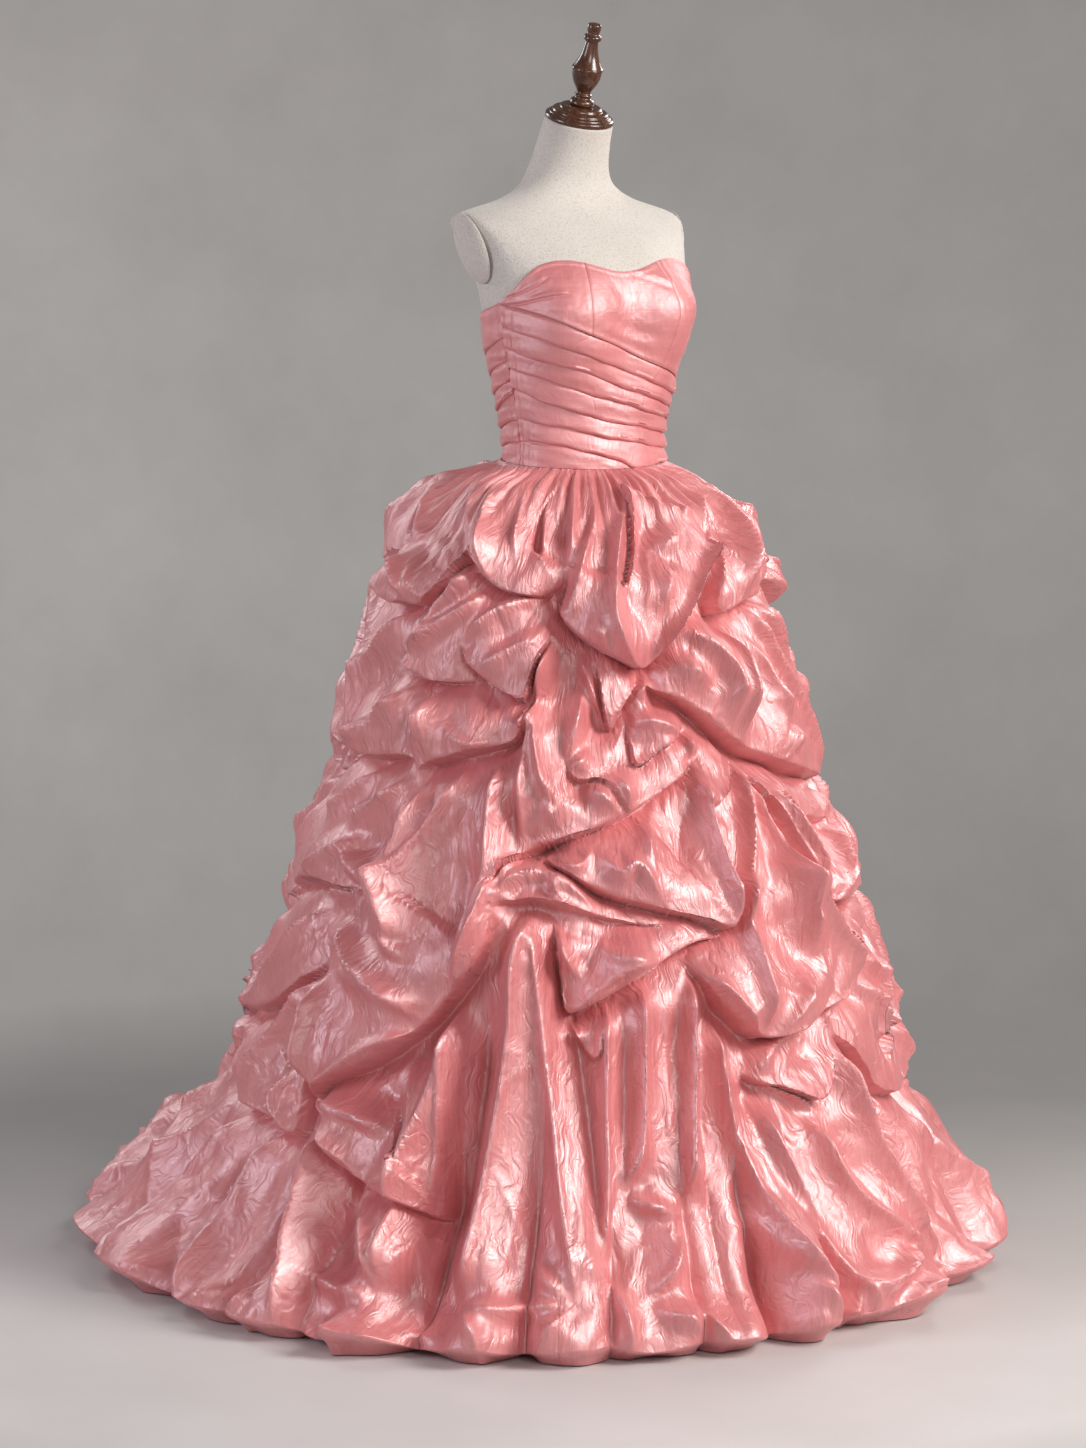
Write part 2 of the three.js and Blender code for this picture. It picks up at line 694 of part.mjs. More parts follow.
// The oval discs that close the armholes, on the form's flat sides.
for (const [name, side] of [
  ["arm_plate_right", -1],
  ["arm_plate_left", 1],
]) {
  const low = along(FORM, "z", 1372),
    high = along(FORM, "z", 1466);
  const from = new THREE.Vector3(side * low.flat, 10, 1372),
    to = new THREE.Vector3(side * high.flat, 50, 1462);
  const up = to.clone().sub(from),
    centre = from.clone().add(to).multiplyScalar(0.5);
  const high_ = up.length() / 2;
  up.normalize();
  const fore = new THREE.Vector3(0, -1, 0).addScaledVector(up, up.y).normalize();
  const out = side > 0 ? up.clone().cross(fore) : fore.clone().cross(up);
  if (out.x * side < 0) out.negate();
  const rim = [];
  const n = 24;
  for (let i = 0; i < n; i++) {
    const a = (2 * Math.PI * i) / n;
    rim.push(
      centre
        .clone()
        .addScaledVector(up, high_ * Math.cos(a))
        .addScaledVector(fore, 34 * Math.sin(a)),
    );
  }
  const place = (share, d) =>
    rim.map((p) => centre.clone().lerp(p, share).addScaledVector(out, d));
  const rings = [
    place(1, 3.2),
    place(1, 3.2 + PLATE.thick * 0.6),
    place(PLATE.share, 3.2 + PLATE.thick),
  ];
  // the rings must turn so that the disc's faces look outwards
  const a = rings[0][0].clone().sub(centre),
    b = rings[0][1].clone().sub(centre);
  if (a.cross(b).dot(out) < 0) rings.forEach((r) => r.reverse());
  add(form, name, loft(rings), canvas);
}
// The stand inside the skirt: a turned base, a pole and a collar.
{
  const foot = [
    new THREE.Vector2(0, 0),
    new THREE.Vector2(BASE.radius, 0),
    new THREE.Vector2(BASE.radius, BASE.thick - BASE.edge),
    new THREE.Vector2(BASE.radius - BASE.edge, BASE.thick),
    new THREE.Vector2(40, BASE.thick + 4),
    new THREE.Vector2(30, BASE.thick + 22),
    new THREE.Vector2(0, BASE.thick + 22),
  ];
  const base = new THREE.LatheGeometry(foot, 36);
  base.rotateX(Math.PI / 2);
  add(form, "stand_base", base, wood);
  const from = BASE.thick + 22 + SEAM,
    to = FORM[0].z - POLE.collarHigh - 2 * SEAM;
  const pole = new THREE.CylinderGeometry(POLE.radius, POLE.radius, to - from, 24);
  pole.rotateX(Math.PI / 2);
  pole.translate(0, 0, (from + to) / 2);
  add(form, "stand_pole", pole, steel);
  const collar = new THREE.CylinderGeometry(
    POLE.collar,
    POLE.collar * 0.7,
    POLE.collarHigh,
    24,
  );
  collar.rotateX(Math.PI / 2);
  collar.translate(0, 0, to + SEAM + POLE.collarHigh / 2);
  add(form, "stand_collar", collar, wood);
}

// The frame's origin is the middle of the object's footprint, on the floor.
{
  part.updateMatrixWorld(true);
  const box = new THREE.Box3().setFromObject(part, true);
  part.position.set(
    -(box.min.x + box.max.x) / 2,
    -(box.min.y + box.max.y) / 2,
    -box.min.z,
  );
}
export default part;
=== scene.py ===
# A strapless ball gown of coral-pink taffeta on a limbless dress form, built
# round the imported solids. Metres, +Z up. The gown faces -Y and the wearer's
# left is +X. phi is the angle round the waist's upright axis: 0 at the centre
# front, growing towards the wearer's left.
import bpy
import math
import numpy as np
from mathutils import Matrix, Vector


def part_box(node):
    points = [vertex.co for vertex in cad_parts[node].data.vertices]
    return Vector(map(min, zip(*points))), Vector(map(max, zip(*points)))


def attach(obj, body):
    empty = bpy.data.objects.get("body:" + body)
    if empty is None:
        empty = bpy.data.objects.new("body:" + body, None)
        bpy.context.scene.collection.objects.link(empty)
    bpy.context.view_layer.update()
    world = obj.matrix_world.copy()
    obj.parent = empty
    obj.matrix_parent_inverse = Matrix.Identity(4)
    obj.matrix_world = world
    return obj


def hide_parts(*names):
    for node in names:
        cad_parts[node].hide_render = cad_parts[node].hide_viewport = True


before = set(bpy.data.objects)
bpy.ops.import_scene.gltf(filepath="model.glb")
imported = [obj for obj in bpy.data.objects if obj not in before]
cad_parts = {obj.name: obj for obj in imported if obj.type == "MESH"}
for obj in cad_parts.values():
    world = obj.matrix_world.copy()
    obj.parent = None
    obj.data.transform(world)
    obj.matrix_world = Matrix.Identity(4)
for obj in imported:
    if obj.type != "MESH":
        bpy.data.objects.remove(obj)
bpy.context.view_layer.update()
_lo, _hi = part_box("stand_pole")
AX, AY = (_lo.x + _hi.x) / 2, (_lo.y + _hi.y) / 2  # the waist's axis
scene = bpy.context.scene
rng = np.random.default_rng(11)


# ------------------------------------------------------------------ camera
def make_camera():
    azimuth, distance, height, pitch = math.radians(-33.0), 6.0, 1.6, math.radians(8.0)
    f = 4350.0  # focal length in pixels of the 1086 x 1448 frame
    cam = bpy.data.cameras.new("camera")
    cam.sensor_fit = "AUTO"
    cam.sensor_width = 36.0
    cam.lens = f / 1448 * 36.0
    cam.dof.use_dof = False
    o = bpy.data.objects.new("camera", cam)
    scene.collection.objects.link(o)
    o.location = (AX + math.sin(azimuth) * distance, AY - math.cos(azimuth) * distance, height)
    o.rotation_euler = (math.pi / 2 - pitch, 0, azimuth + math.atan(40 / f))
    scene.camera = o


make_camera()


# ------------------------------------------------------------------- meshes
def grid_faces(nc, nr, wrap=False, offset=0, flip=False):
    """Quads of a grid of nc columns and nr rows, column by column."""
    j, i = np.meshgrid(np.arange(nc if wrap else nc - 1), np.arange(nr - 1), indexing="ij")
    k = (j + 1) % nc
    q = np.stack([j * nr + i, j * nr + i + 1, k * nr + i + 1, k * nr + i], -1).reshape(-1, 4) + offset
    return q[:, ::-1] if flip else q


def mesh_object(name, verts, quads, uv=None, material=None, tris=None):
    """A smooth mesh from arrays. uv has one place per vertex."""
    me = bpy.data.meshes.new(name)
    verts = np.asarray(verts, np.float32).reshape(-1, 3)
    quads = np.asarray(quads, np.int32)
    loops = quads.ravel(); starts = np.arange(0, len(loops), 4)
    if tris is not None and len(tris):
        tris = np.asarray(tris, np.int32)
        starts = np.concatenate([starts, len(loops) + np.arange(0, 3 * len(tris), 3)])
        loops = np.concatenate([loops, tris.ravel()])
    me.vertices.add(len(verts)); me.vertices.foreach_set("co", verts.ravel())
    me.loops.add(len(loops)); me.loops.foreach_set("vertex_index", loops.astype(np.int32))
    me.polygons.add(len(starts)); me.polygons.foreach_set("loop_start", starts.astype(np.int32))
    me.polygons.foreach_set("use_smooth", np.ones(len(starts), bool))
    if uv is not None:
        layer = me.uv_layers.new(name="cut")
        layer.data.foreach_set("uv", np.asarray(uv, np.float32).reshape(-1, 2)[loops].ravel())
    me.update(calc_edges=True)
    me.validate()
    o = bpy.data.objects.new(name, me)
    scene.collection.objects.link(o)
    if material:
        me.materials.append(material)
    return o


def grid_normals(P, wrap=False):
    """Outward directions of a grid whose columns run with phi and rows run down."""
    if wrap:
        across = np.roll(P, -1, 0) - np.roll(P, 1, 0)
    else:
        across = np.empty_like(P); across[1:-1] = P[2:] - P[:-2]; across[0] = P[1] - P[0]; across[-1] = P[-1] - P[-2]
    down = np.empty_like(P); down[:, 1:-1] = P[:, 2:] - P[:, :-2]; down[:, 0] = P[:, 1] - P[:, 0]; down[:, -1] = P[:, -1] - P[:, -2]
    n = np.cross(down, across)
    return n / (np.linalg.norm(n, axis=-1, keepdims=True) + 1e-12)


def shell(name, P, thick, material, uv=None, inner=None, normals=None):
    """Cloth between an outer grid of points and one moved in by its thickness.
    With normals given, its faces are shaded by them, so that panels join without a line."""
    P = np.asarray(P, float)
    nc, nr = P.shape[:2]
    if inner is None:
        n = grid_normals(P) if normals is None else normals
        inner = P - n * thick
    m = nc * nr
    verts = np.concatenate([P.reshape(-1, 3), inner.reshape(-1, 3)])
    idx = np.arange(m).reshape(nc, nr)
    ring = np.concatenate([idx[0, :], idx[1:, -1], idx[-1, -2::-1], idx[-2:0:-1, 0]])
    nxt = np.roll(ring, -1)
    rim = np.stack([nxt, ring, ring + m, nxt + m], -1)
    quads = np.concatenate([grid_faces(nc, nr), grid_faces(nc, nr, offset=m, flip=True), rim])
    if uv is not None:
        uv = np.concatenate([uv.reshape(-1, 2), uv.reshape(-1, 2)])
    o = mesh_object(name, verts, quads, uv, material)
    o["columns"], o["rows"] = nc, nr
    me = o.data
    # the cloth's cut edges are sharp
    place = np.full(len(verts), -9); place[ring] = np.arange(len(ring)); place[ring + m] = np.arange(len(ring))
    e = np.empty(len(me.edges) * 2, np.int32); me.edges.foreach_get("vertices", e); e = e.reshape(-1, 2)
    gap = np.abs(place[e[:, 0]] - place[e[:, 1]])
    sharp = (place[e[:, 0]] >= 0) & (place[e[:, 1]] >= 0) & ((gap == 1) | (gap == len(ring) - 1)) & ((e[:, 0] < m) == (e[:, 1] < m))
    a = me.attributes.new("sharp_edge", "BOOLEAN", "EDGE")
    a.data.foreach_set("value", sharp)
    if normals is not None:
        n = np.asarray(normals).reshape(-1, 3)
        me.normals_split_custom_set_from_vertices(np.concatenate([n, -n]).astype(np.float32))
    return o


def at(phi, r, z, centre=0.0):
    """Points round the waist's axis, in the row frame."""
    return np.stack([AX + r * np.sin(phi), AY + centre - r * np.cos(phi), z + 0 * r], -1)


# smooth seeded noise on a plane: a few sine waves with turned directions
def waves(u, v, scale, seed, n=7, stretch=1.0):
    g = np.random.default_rng(seed)
    out = 0 * u
    for _ in range(n):
        a = g.uniform(0, 2 * math.pi); k = 2 * math.pi / scale * g.uniform(.6, 1.6); p = g.uniform(0, 6.28)
        out = out + np.sin(k * (u * math.cos(a) / stretch + v * math.sin(a)) + p + 1.3 * np.sin(k * .43 * (v * math.cos(a) - u * math.sin(a) / stretch) + 2 * p))
    return out / math.sqrt(n)


# --------------------------------------------------------------- materials
def new_material(name):
    m = bpy.data.materials.new(name)
    m.use_nodes = True
    t = m.node_tree
    for n in list(t.nodes):
        t.nodes.remove(n)
    out = t.nodes.new("ShaderNodeOutputMaterial"); b = t.nodes.new("ShaderNodeBsdfPrincipled")
    t.links.new(b.outputs[0], out.inputs[0])
    return m, t, b


def node(t, kind, **inputs):
    n = t.nodes.new("ShaderNode" + kind)
    for k, v in inputs.items():
        if k.startswith("p_"):
            setattr(n, k[2:], v)
        elif hasattr(v, "links") or isinstance(v, bpy.types.NodeSocket):
            t.links.new(v, n.inputs[k.replace("_", " ")])
        else:
            n.inputs[k.replace("_", " ")].default_value = v
    return n


def ramp(t, fac, stops):
    n = t.nodes.new("ShaderNodeValToRGB")
    e = n.color_ramp.elements
    e[0].position, e[0].color = stops[0][0], (*stops[0][1], 1)
    e[1].position, e[1].color = stops[-1][0], (*stops[-1][1], 1)
    for p, c in stops[1:-1]:
        x = e.new(p); x.color = (*c, 1)
    t.links.new(fac, n.inputs[0])
    return n


def math_node(t, op, a, b=None, clamp=False):
    n = t.nodes.new("ShaderNodeMath"); n.operation = op; n.use_clamp = clamp
    for i, v in enumerate((a, b)):
        if v is None:
            continue
        if isinstance(v, bpy.types.NodeSocket):
            t.links.new(v, n.inputs[i])
        else:
            n.inputs[i].default_value = v
    return n.outputs[0]


def mix_color(t, fac, a, b, blend="MIX"):
    n = t.nodes.new("ShaderNodeMix"); n.data_type = "RGBA"; n.blend_type = blend
    for i, v in ((0, fac), (6, a), (7, b)):
        if isinstance(v, bpy.types.NodeSocket):
            t.links.new(v, n.inputs[i])
        elif i == 0:
            n.inputs[i].default_value = v
        else:
            n.inputs[i].default_value = (*v, 1)
    return n.outputs[2]


def bump(t, height, strength, distance, normal=None):
    n = t.nodes.new("ShaderNodeBump")
    n.inputs["Strength"].default_value = strength; n.inputs["Distance"].default_value = distance
    t.links.new(height, n.inputs["Height"])
    if normal is not None:
        t.links.new(normal, n.inputs["Normal"])
    return n.outputs[0]


def taffeta(name, crumple=1.0, scale=1.0, dull=0.0, streaky=1.0):
    """Shot taffeta: a coral weft over a paler rose warp, crisp and softly glossy."""
    m, t, b = new_material(name)
    uv = node(t, "UVMap", p_uv_map="cut").outputs[0]
    obj = node(t, "TexCoord").outputs["Object"]
    # the weave's crosswise rib and its uneven yarns, in metres of cloth
    rib_map = node(t, "Mapping", Vector=uv, Scale=(18, 900, 1))
    slub = node(t, "TexNoise", Vector=rib_map.outputs[0], Scale=1.0, Detail=3.0, Roughness=.6).outputs[0]
    warp_map = node(t, "Mapping", Vector=uv, Scale=(330, 10, 1))
    warp = node(t, "TexNoise", Vector=warp_map.outputs[0], Scale=1.0, Detail=3.0, Roughness=.6).outputs[0]
    # soft clouding in the gloss, and small sharp crushes
    cloud = node(t, "TexNoise", Vector=obj, Scale=9.0, Detail=4.0, Roughness=.55, Distortion=.6).outputs[0]
    warped = node(t, "TexNoise", Vector=obj, Scale=14.0, Detail=2.0)
    moved = node(t, "VectorMath", p_operation="MULTIPLY_ADD")
    t.links.new(warped.outputs["Color"], moved.inputs[0]); moved.inputs[1].default_value = (.05, .05, .05); t.links.new(obj, moved.inputs[2])
    cell = node(t, "TexVoronoi", p_feature="F2", Vector=moved.outputs[0], Scale=26.0 * scale, Randomness=1.0).outputs["Distance"]
    cell1 = node(t, "TexVoronoi", p_feature="F1", Vector=moved.outputs[0], Scale=26.0 * scale, Randomness=1.0).outputs["Distance"]
    facet = math_node(t, "SUBTRACT", cell, cell1)
    facet = math_node(t, "MINIMUM", facet, .45)
    big = node(t, "TexNoise", Vector=obj, Scale=22.0 * scale, Detail=5.0, Roughness=.62, Distortion=1.2).outputs[0]
    # colour
    base = ramp(t, cloud, [(.25, (.63, .155, .163)), (.55, (.69, .184, .189)), (.8, (.75, .220, .222))]).outputs[0]
    yarn = ramp(t, slub, [(.3, (.86, .86, .86)), (.7, (1.1, 1.1, 1.1))]).outputs[0]
    base = mix_color(t, .55, base, yarn, "MULTIPLY")
    warpc = ramp(t, warp, [(.32, (.84, .80, .82)), (.68, (1.14, 1.16, 1.15))]).outputs[0]
    base = mix_color(t, .68 * streaky, base, warpc, "MULTIPLY")
    t.links.new(base, b.inputs["Base Color"])
    rough = ramp(t, cloud, [(.3, (.385 + dull,) * 3), (.75, (.51 + dull,) * 3)]).outputs[0]
    grit = ramp(t, slub, [(.35, (.94, .94, .94)), (.65, (1.08, 1.08, 1.08))]).outputs[0]
    streak = ramp(t, warp, [(.32, (.86, .86, .86)), (.68, (1.16, 1.16, 1.16))]).outputs[0]
    rough = mix_color(t, 1.0, rough, mix_color(t, streaky, grit, streak, "MULTIPLY"), "MULTIPLY")
    t.links.new(rough, b.inputs["Roughness"])
    b.inputs["Metallic"].default_value = .06
    b.inputs["IOR"].default_value = 1.96
    b.inputs["Specular IOR Level"].default_value = 1.0
    b.inputs["Sheen Weight"].default_value = .20
    b.inputs["Sheen Roughness"].default_value = .38
    b.inputs["Sheen Tint"].default_value = (1.0, .84, .86, 1)
    # small sharp crushes: the folded valleys of a noise
    # longer than they are wide, along the cloth's length
    bent = node(t, "VectorMath", p_operation="MULTIPLY_ADD")
    t.links.new(warped.outputs["Color"], bent.inputs[0]); bent.inputs[1].default_value = (.10, .16, 0); t.links.new(uv, bent.inputs[2])
    long1 = node(t, "Mapping", Vector=bent.outputs[0], Scale=(30 * scale, 11 * scale, 1))
    m1 = node(t, "TexNoise", Vector=long1.outputs[0], Scale=1.0, Detail=2.5, Roughness=.5, Distortion=.5).outputs[0]
    crush = math_node(t, "ABSOLUTE", math_node(t, "SUBTRACT", m1, .5))
    long2 = node(t, "Mapping", Vector=bent.outputs[0], Scale=(78 * scale, 24 * scale, 1))
    m2 = node(t, "TexNoise", Vector=long2.outputs[0], Scale=1.0, Detail=2.0, Roughness=.5, Distortion=.7).outputs[0]
    crush2 = math_node(t, "ABSOLUTE", math_node(t, "SUBTRACT", m2, .5))
    n = bump(t, crush, .52 * crumple, .012)
    n = bump(t, crush2, .40 * crumple, .0045, n)
    n = bump(t, facet, .22 * crumple, .0022, n)
    n = bump(t, big, .30 * crumple, .0035, n)
    n = bump(t, slub, .45, .0006, n)
    n = bump(t, warp, .50 * streaky, .0006, n)
    t.links.new(n, b.inputs["Normal"])
    return m


def canvas_material():
    m, t, b = new_material("cream_canvas")
    obj = node(t, "TexCoord").outputs["Object"]
    uv = node(t, "UVMap", p_uv_map="cut").outputs[0]
    w1 = node(t, "TexWave", Vector=uv, Scale=260.0, Distortion=1.2, Detail=2.0, p_bands_direction="X").outputs["Fac"]
    w2 = node(t, "TexWave", Vector=uv, Scale=260.0, Distortion=1.2, Detail=2.0, p_bands_direction="Y").outputs["Fac"]
    weave = math_node(t, "MULTIPLY", w1, w2)
    fleck = node(t, "TexNoise", Vector=obj, Scale=420.0, Detail=3.0, Roughness=.7).outputs[0]
    cloud = node(t, "TexNoise", Vector=obj, Scale=7.0, Detail=3.0, Roughness=.5).outputs[0]
    base = ramp(t, cloud, [(.3, (.59, .535, .49)), (.7, (.665, .615, .57))]).outputs[0]
    spots = ramp(t, fleck, [(.34, (.70, .66, .61)), (.48, (1.0, 1.0, 1.0)), (.70, (1.06, 1.06, 1.05))]).outputs[0]
    base = mix_color(t, .8, base, spots, "MULTIPLY")
    t.links.new(base, b.inputs["Base Color"])
    b.inputs["Roughness"].default_value = .88
    b.inputs["Specular IOR Level"].default_value = .25
    b.inputs["Sheen Weight"].default_value = .25
    b.inputs["Sheen Roughness"].default_value = .6
    n = bump(t, fleck, .55, .0016)
    n = bump(t, weave, .18, .0006, n)
    t.links.new(n, b.inputs["Normal"])
    return m


def wood_material(name, dark=1.0):
    m, t, b = new_material(name)
    obj = node(t, "TexCoord").outputs["Object"]
    mp = node(t, "Mapping", Vector=obj, Scale=(1, 1, .12))
    grain = node(t, "TexNoise", Vector=mp.outputs[0], Scale=170.0, Detail=6.0, Roughness=.62, Distortion=.8).outputs[0]
    pore = node(t, "TexNoise", Vector=mp.outputs[0], Scale=900.0, Detail=2.0).outputs[0]
    cloud = node(t, "TexNoise", Vector=obj, Scale=28.0, Detail=2.0).outputs[0]
    base = ramp(t, grain, [(.28, (.030 * dark, .011 * dark, .006 * dark)), (.52, (.085 * dark, .030 * dark, .015 * dark)), (.75, (.155 * dark, .060 * dark, .030 * dark))]).outputs[0]
    tint = ramp(t, cloud, [(.3, (.8, .78, .76)), (.7, (1.12, 1.08, 1.05))]).outputs[0]
    base = mix_color(t, .7, base, tint, "MULTIPLY")
    t.links.new(base, b.inputs["Base Color"])
    rough = ramp(t, grain, [(.3, (.30, .30, .30)), (.7, (.22, .22, .22))]).outputs[0]
    t.links.new(rough, b.inputs["Roughness"])
    b.inputs["Coat Weight"].default_value = .5
    b.inputs["Coat Roughness"].default_value = .12
    n = bump(t, grain, .10, .0006)
    n = bump(t, pore, .10, .0002, n)
    t.links.new(n, b.inputs["Normal"])
    return m


def steel_material():
    m, t, b = new_material("steel_tube")
    obj = node(t, "TexCoord").outputs["Object"]
    mp = node(t, "Mapping", Vector=obj, Scale=(60, 60, 2))
    brush = node(t, "TexNoise", Vector=mp.outputs[0], Scale=30.0, Detail=4.0).outputs[0]
    base = ramp(t, brush, [(.3, (.36, .36, .37)), (.7, (.52, .52, .53))]).outputs[0]
    t.links.new(base, b.inputs["Base Color"])
    rough = ramp(t, brush, [(.3, (.26, .26, .26)), (.7, (.40, .40, .40))]).outputs[0]
    t.links.new(rough, b.inputs["Roughness"])
    b.inputs["Metallic"].default_value = 1.0
    t.links.new(bump(t, brush, .08, .0004), b.inputs["Normal"])
    return m


TAFFETA = taffeta("taffeta_skirt")
TAFFETA_BODICE = taffeta("taffeta_bodice", crumple=.35, scale=1.2, dull=.07, streaky=.3)
CANVAS = canvas_material()
WOOD = wood_material("turned_wood")
WOOD_BASE = wood_material("base_wood", 1.2)
STEEL = steel_material()


# ---------------------------------------------------------- the dress form
# z, half width, front depth, back depth, how far back the middle lies, extra
# depth at the bust points, and where the armhole's flat cuts it, in mm
FORM = np.array([
    (905, 166, 116, 128, 0, 0, 400), (960, 163, 112, 126, 0, 0, 400), (1040, 140, 98, 106, 0, 0, 400),
    (1100, 118, 88, 88, 0, 0, 400), (1135, 112, 86, 82, 0, 0, 400), (1170, 113.5, 87, 84, 0, 0, 400),
    (1235, 127, 96, 93, 0, 8, 400), (1290, 140, 104, 103, 0, 26, 400), (1335, 147, 108, 109, 0, 34, 400),
    (1370, 152, 109, 109, 6, 22, 149), (1400, 161, 108, 100, 18, 8, 153), (1430, 175, 106, 84, 38, 2, 160),
    (1452, 184, 94, 62, 52, 0, 168), (1466, 160, 78, 54, 52, 0, 170), (1482, 104, 62, 52, 47, 0, 400),
    (1500, 70, 55, 56, 43, 0, 400), (1522, 56, 52, 54, 38, 0, 400), (1560, 48.5, 48, 48, 24, 0, 400),
    (1590, 45.5, 45.5, 45.5, 11, 0, 400)]) / 1000
SQUARE = 2.15
NECK_TILT = math.radians(17)
SEAM_GAP = .0003


def form_rows(z):
    """The form's table at heights z, along smooth curves."""
    zs = FORM[:, 0]; z = np.clip(z, zs[0], zs[-1])
    i = np.clip(np.searchsorted(zs, z, side="right") - 1, 0, len(zs) - 2)
    lo, hi = np.maximum(np.arange(len(zs)) - 1, 0), np.minimum(np.arange(len(zs)) + 1, len(zs) - 1)
    slope = (FORM[hi] - FORM[lo]) / (zs[hi] - zs[lo])[:, None]
    size = zs[i + 1] - zs[i]; t = (z - zs[i]) / size
    h = [2 * t ** 3 - 3 * t ** 2 + 1, (t ** 3 - 2 * t ** 2 + t) * size, -2 * t ** 3 + 3 * t ** 2, (t ** 3 - t ** 2) * size]
    out = h[0][..., None] * FORM[i] + h[1][..., None] * slope[i] + h[2][..., None] * FORM[i + 1] + h[3][..., None] * slope[i + 1]
    out[..., 6] = np.interp(z, zs, FORM[:, 6])
    return out


def form_point(phi, z, off=0.0, cut=False):
    """Points of the form's surface at angles phi (radians), moved out by off."""
    phi, z = np.broadcast_arrays(np.asarray(phi, float), np.asarray(z, float))
    s = form_rows(z)
    c, sn = np.cos(phi), np.abs(np.sin(phi))
    depth = np.where(c > 0, s[..., 2], s[..., 3])
    r = ((sn / s[..., 1]) ** SQUARE + (np.abs(c) / depth) ** SQUARE) ** (-1 / SQUARE)
    d = np.degrees(phi); d = (d + 180) % 360 - 180
    for side in (-1, 1):
        r = r + s[..., 5] * np.exp(-((d - side * 34) / 24) ** 2)
    r = r + off
    x = r * np.sin(phi)
    if cut:
        lim = np.where(s[..., 6] < .2, s[..., 6], 9)
        # the flat meets the shoulder in a soft edge
        soft = .0050
        x = np.sign(x) * np.where(np.abs(x) > lim - soft, lim - soft * np.exp(-(np.abs(x) - lim + soft) / soft / 2), np.abs(x))
    return np.stack([AX + x, AY + s[..., 4] - r * c, z + 0 * r], -1)


def build_form():
    nphi, phi = 128, np.radians(np.arange(128) * 360 / 128)
    z = np.concatenate([np.linspace(.905, 1.36, 40), np.linspace(1.366, 1.50, 62), np.linspace(1.504, 1.590, 26)])[::-1]
    P = form_point(phi[:, None], z[None, :], 0, cut=True)
    lean = np.clip((z - 1.500) / .090, 0, 1)
    P[..., 2] += lean[None, :] * math.tan(NECK_TILT) * (P[..., 1] - AY - form_rows(z)[None, :, 4])
    nr = len(z)
    n_end = P.reshape(-1, 3)
    top = P[:, 0].mean(0); low = P[:, -1].mean(0)
    verts = np.concatenate([n_end, [top, low]])
    j = np.arange(nphi); k = (j + 1) % nphi
    tris = np.concatenate([np.stack([k * nr, np.full(nphi, len(verts) - 2), j * nr], -1)[:, ::-1] * 1,
                           np.stack([j * nr + nr - 1, np.full(nphi, len(verts) - 1), k * nr + nr - 1], -1)])
    tris[:nphi] = np.stack([np.full(nphi, len(verts) - 2), j * nr, k * nr], -1)
    uv = np.stack([np.repeat(phi[:, None] * .13, nr, 1), np.repeat(z[None, :], nphi, 0)], -1).reshape(-1, 2)
    uv = np.concatenate([uv, [[0, 1.6], [0, .9]]])
    o = mesh_object("form_torso_cover", verts, grid_faces(nphi, nr, wrap=True), uv, CANVAS, tris)
    for p in o.data.polygons[-2 * nphi:]:
        p.use_smooth = False
    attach(o, "root"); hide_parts("form_torso")
    # the oval, softly domed discs that close the armholes, on the form's flat sides
    for name, side in (("arm_plate_right", -1), ("arm_plate_left", 1)):
        lo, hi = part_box(name)
        c = (np.array(lo) + np.array(hi)) / 2
        a = np.array([side * .149, .010, 1.372]); b_ = np.array([side * .170, .050, 1.462])
        up = b_ - a; half = np.linalg.norm(up) / 2; up /= np.linalg.norm(up)
        centre = (a + b_) / 2 + np.array([AX, AY, 0])
        fore = np.array([0, -1., 0]) + up * up[1]; fore /= np.linalg.norm(fore)
        out = np.cross(up, fore) * side
        if out[0] * side < 0:
            out = -out
        n, rings = 72, []
        for share, d in ((0, .0008), (.6, .0008), (1.0, .0008), (1.0, .0011), (.99, .0018), (.96, .0032), (.88, .0056), (.70, .0088), (.45, .0110), (.2, .0120), (0, .0122)):
            ang = np.arange(n) * 2 * math.pi / n
            rings.append(centre + share * (half * np.cos(ang)[:, None] * up + .036 * np.sin(ang)[:, None] * fore) + d * out)
        P = np.stack(rings, 1)
        nr = P.shape[1]
        v = P.reshape(-1, 3)
        # the first and last rings are single points
        q = grid_faces(n, nr, wrap=True)
        turn = np.cross(P[1, 2] - P[0, 2], P[0, 3] - P[0, 2])
        rad = P[0, 2] - centre
        if np.dot(turn, rad) < 0:
            q = q[:, ::-1]
        o = mesh_object(name + "_cover", v, q, np.stack([np.repeat(np.arange(n) * .003, nr), np.tile(np.arange(nr) * .006, n)], -1), CANVAS)
        weld(o)
        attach(o, "root"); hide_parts(name)


def weld(o, dist=1e-5):
    import bmesh
    bm = bmesh.new(); bm.from_mesh(o.data)
    bmesh.ops.remove_doubles(bm, verts=bm.verts, dist=dist)
    bmesh.ops.dissolve_degenerate(bm, edges=bm.edges, dist=1e-7)
    bmesh.ops.recalc_face_normals(bm, faces=bm.faces)
    bm.to_mesh(o.data); bm.free()
    o.data.update()


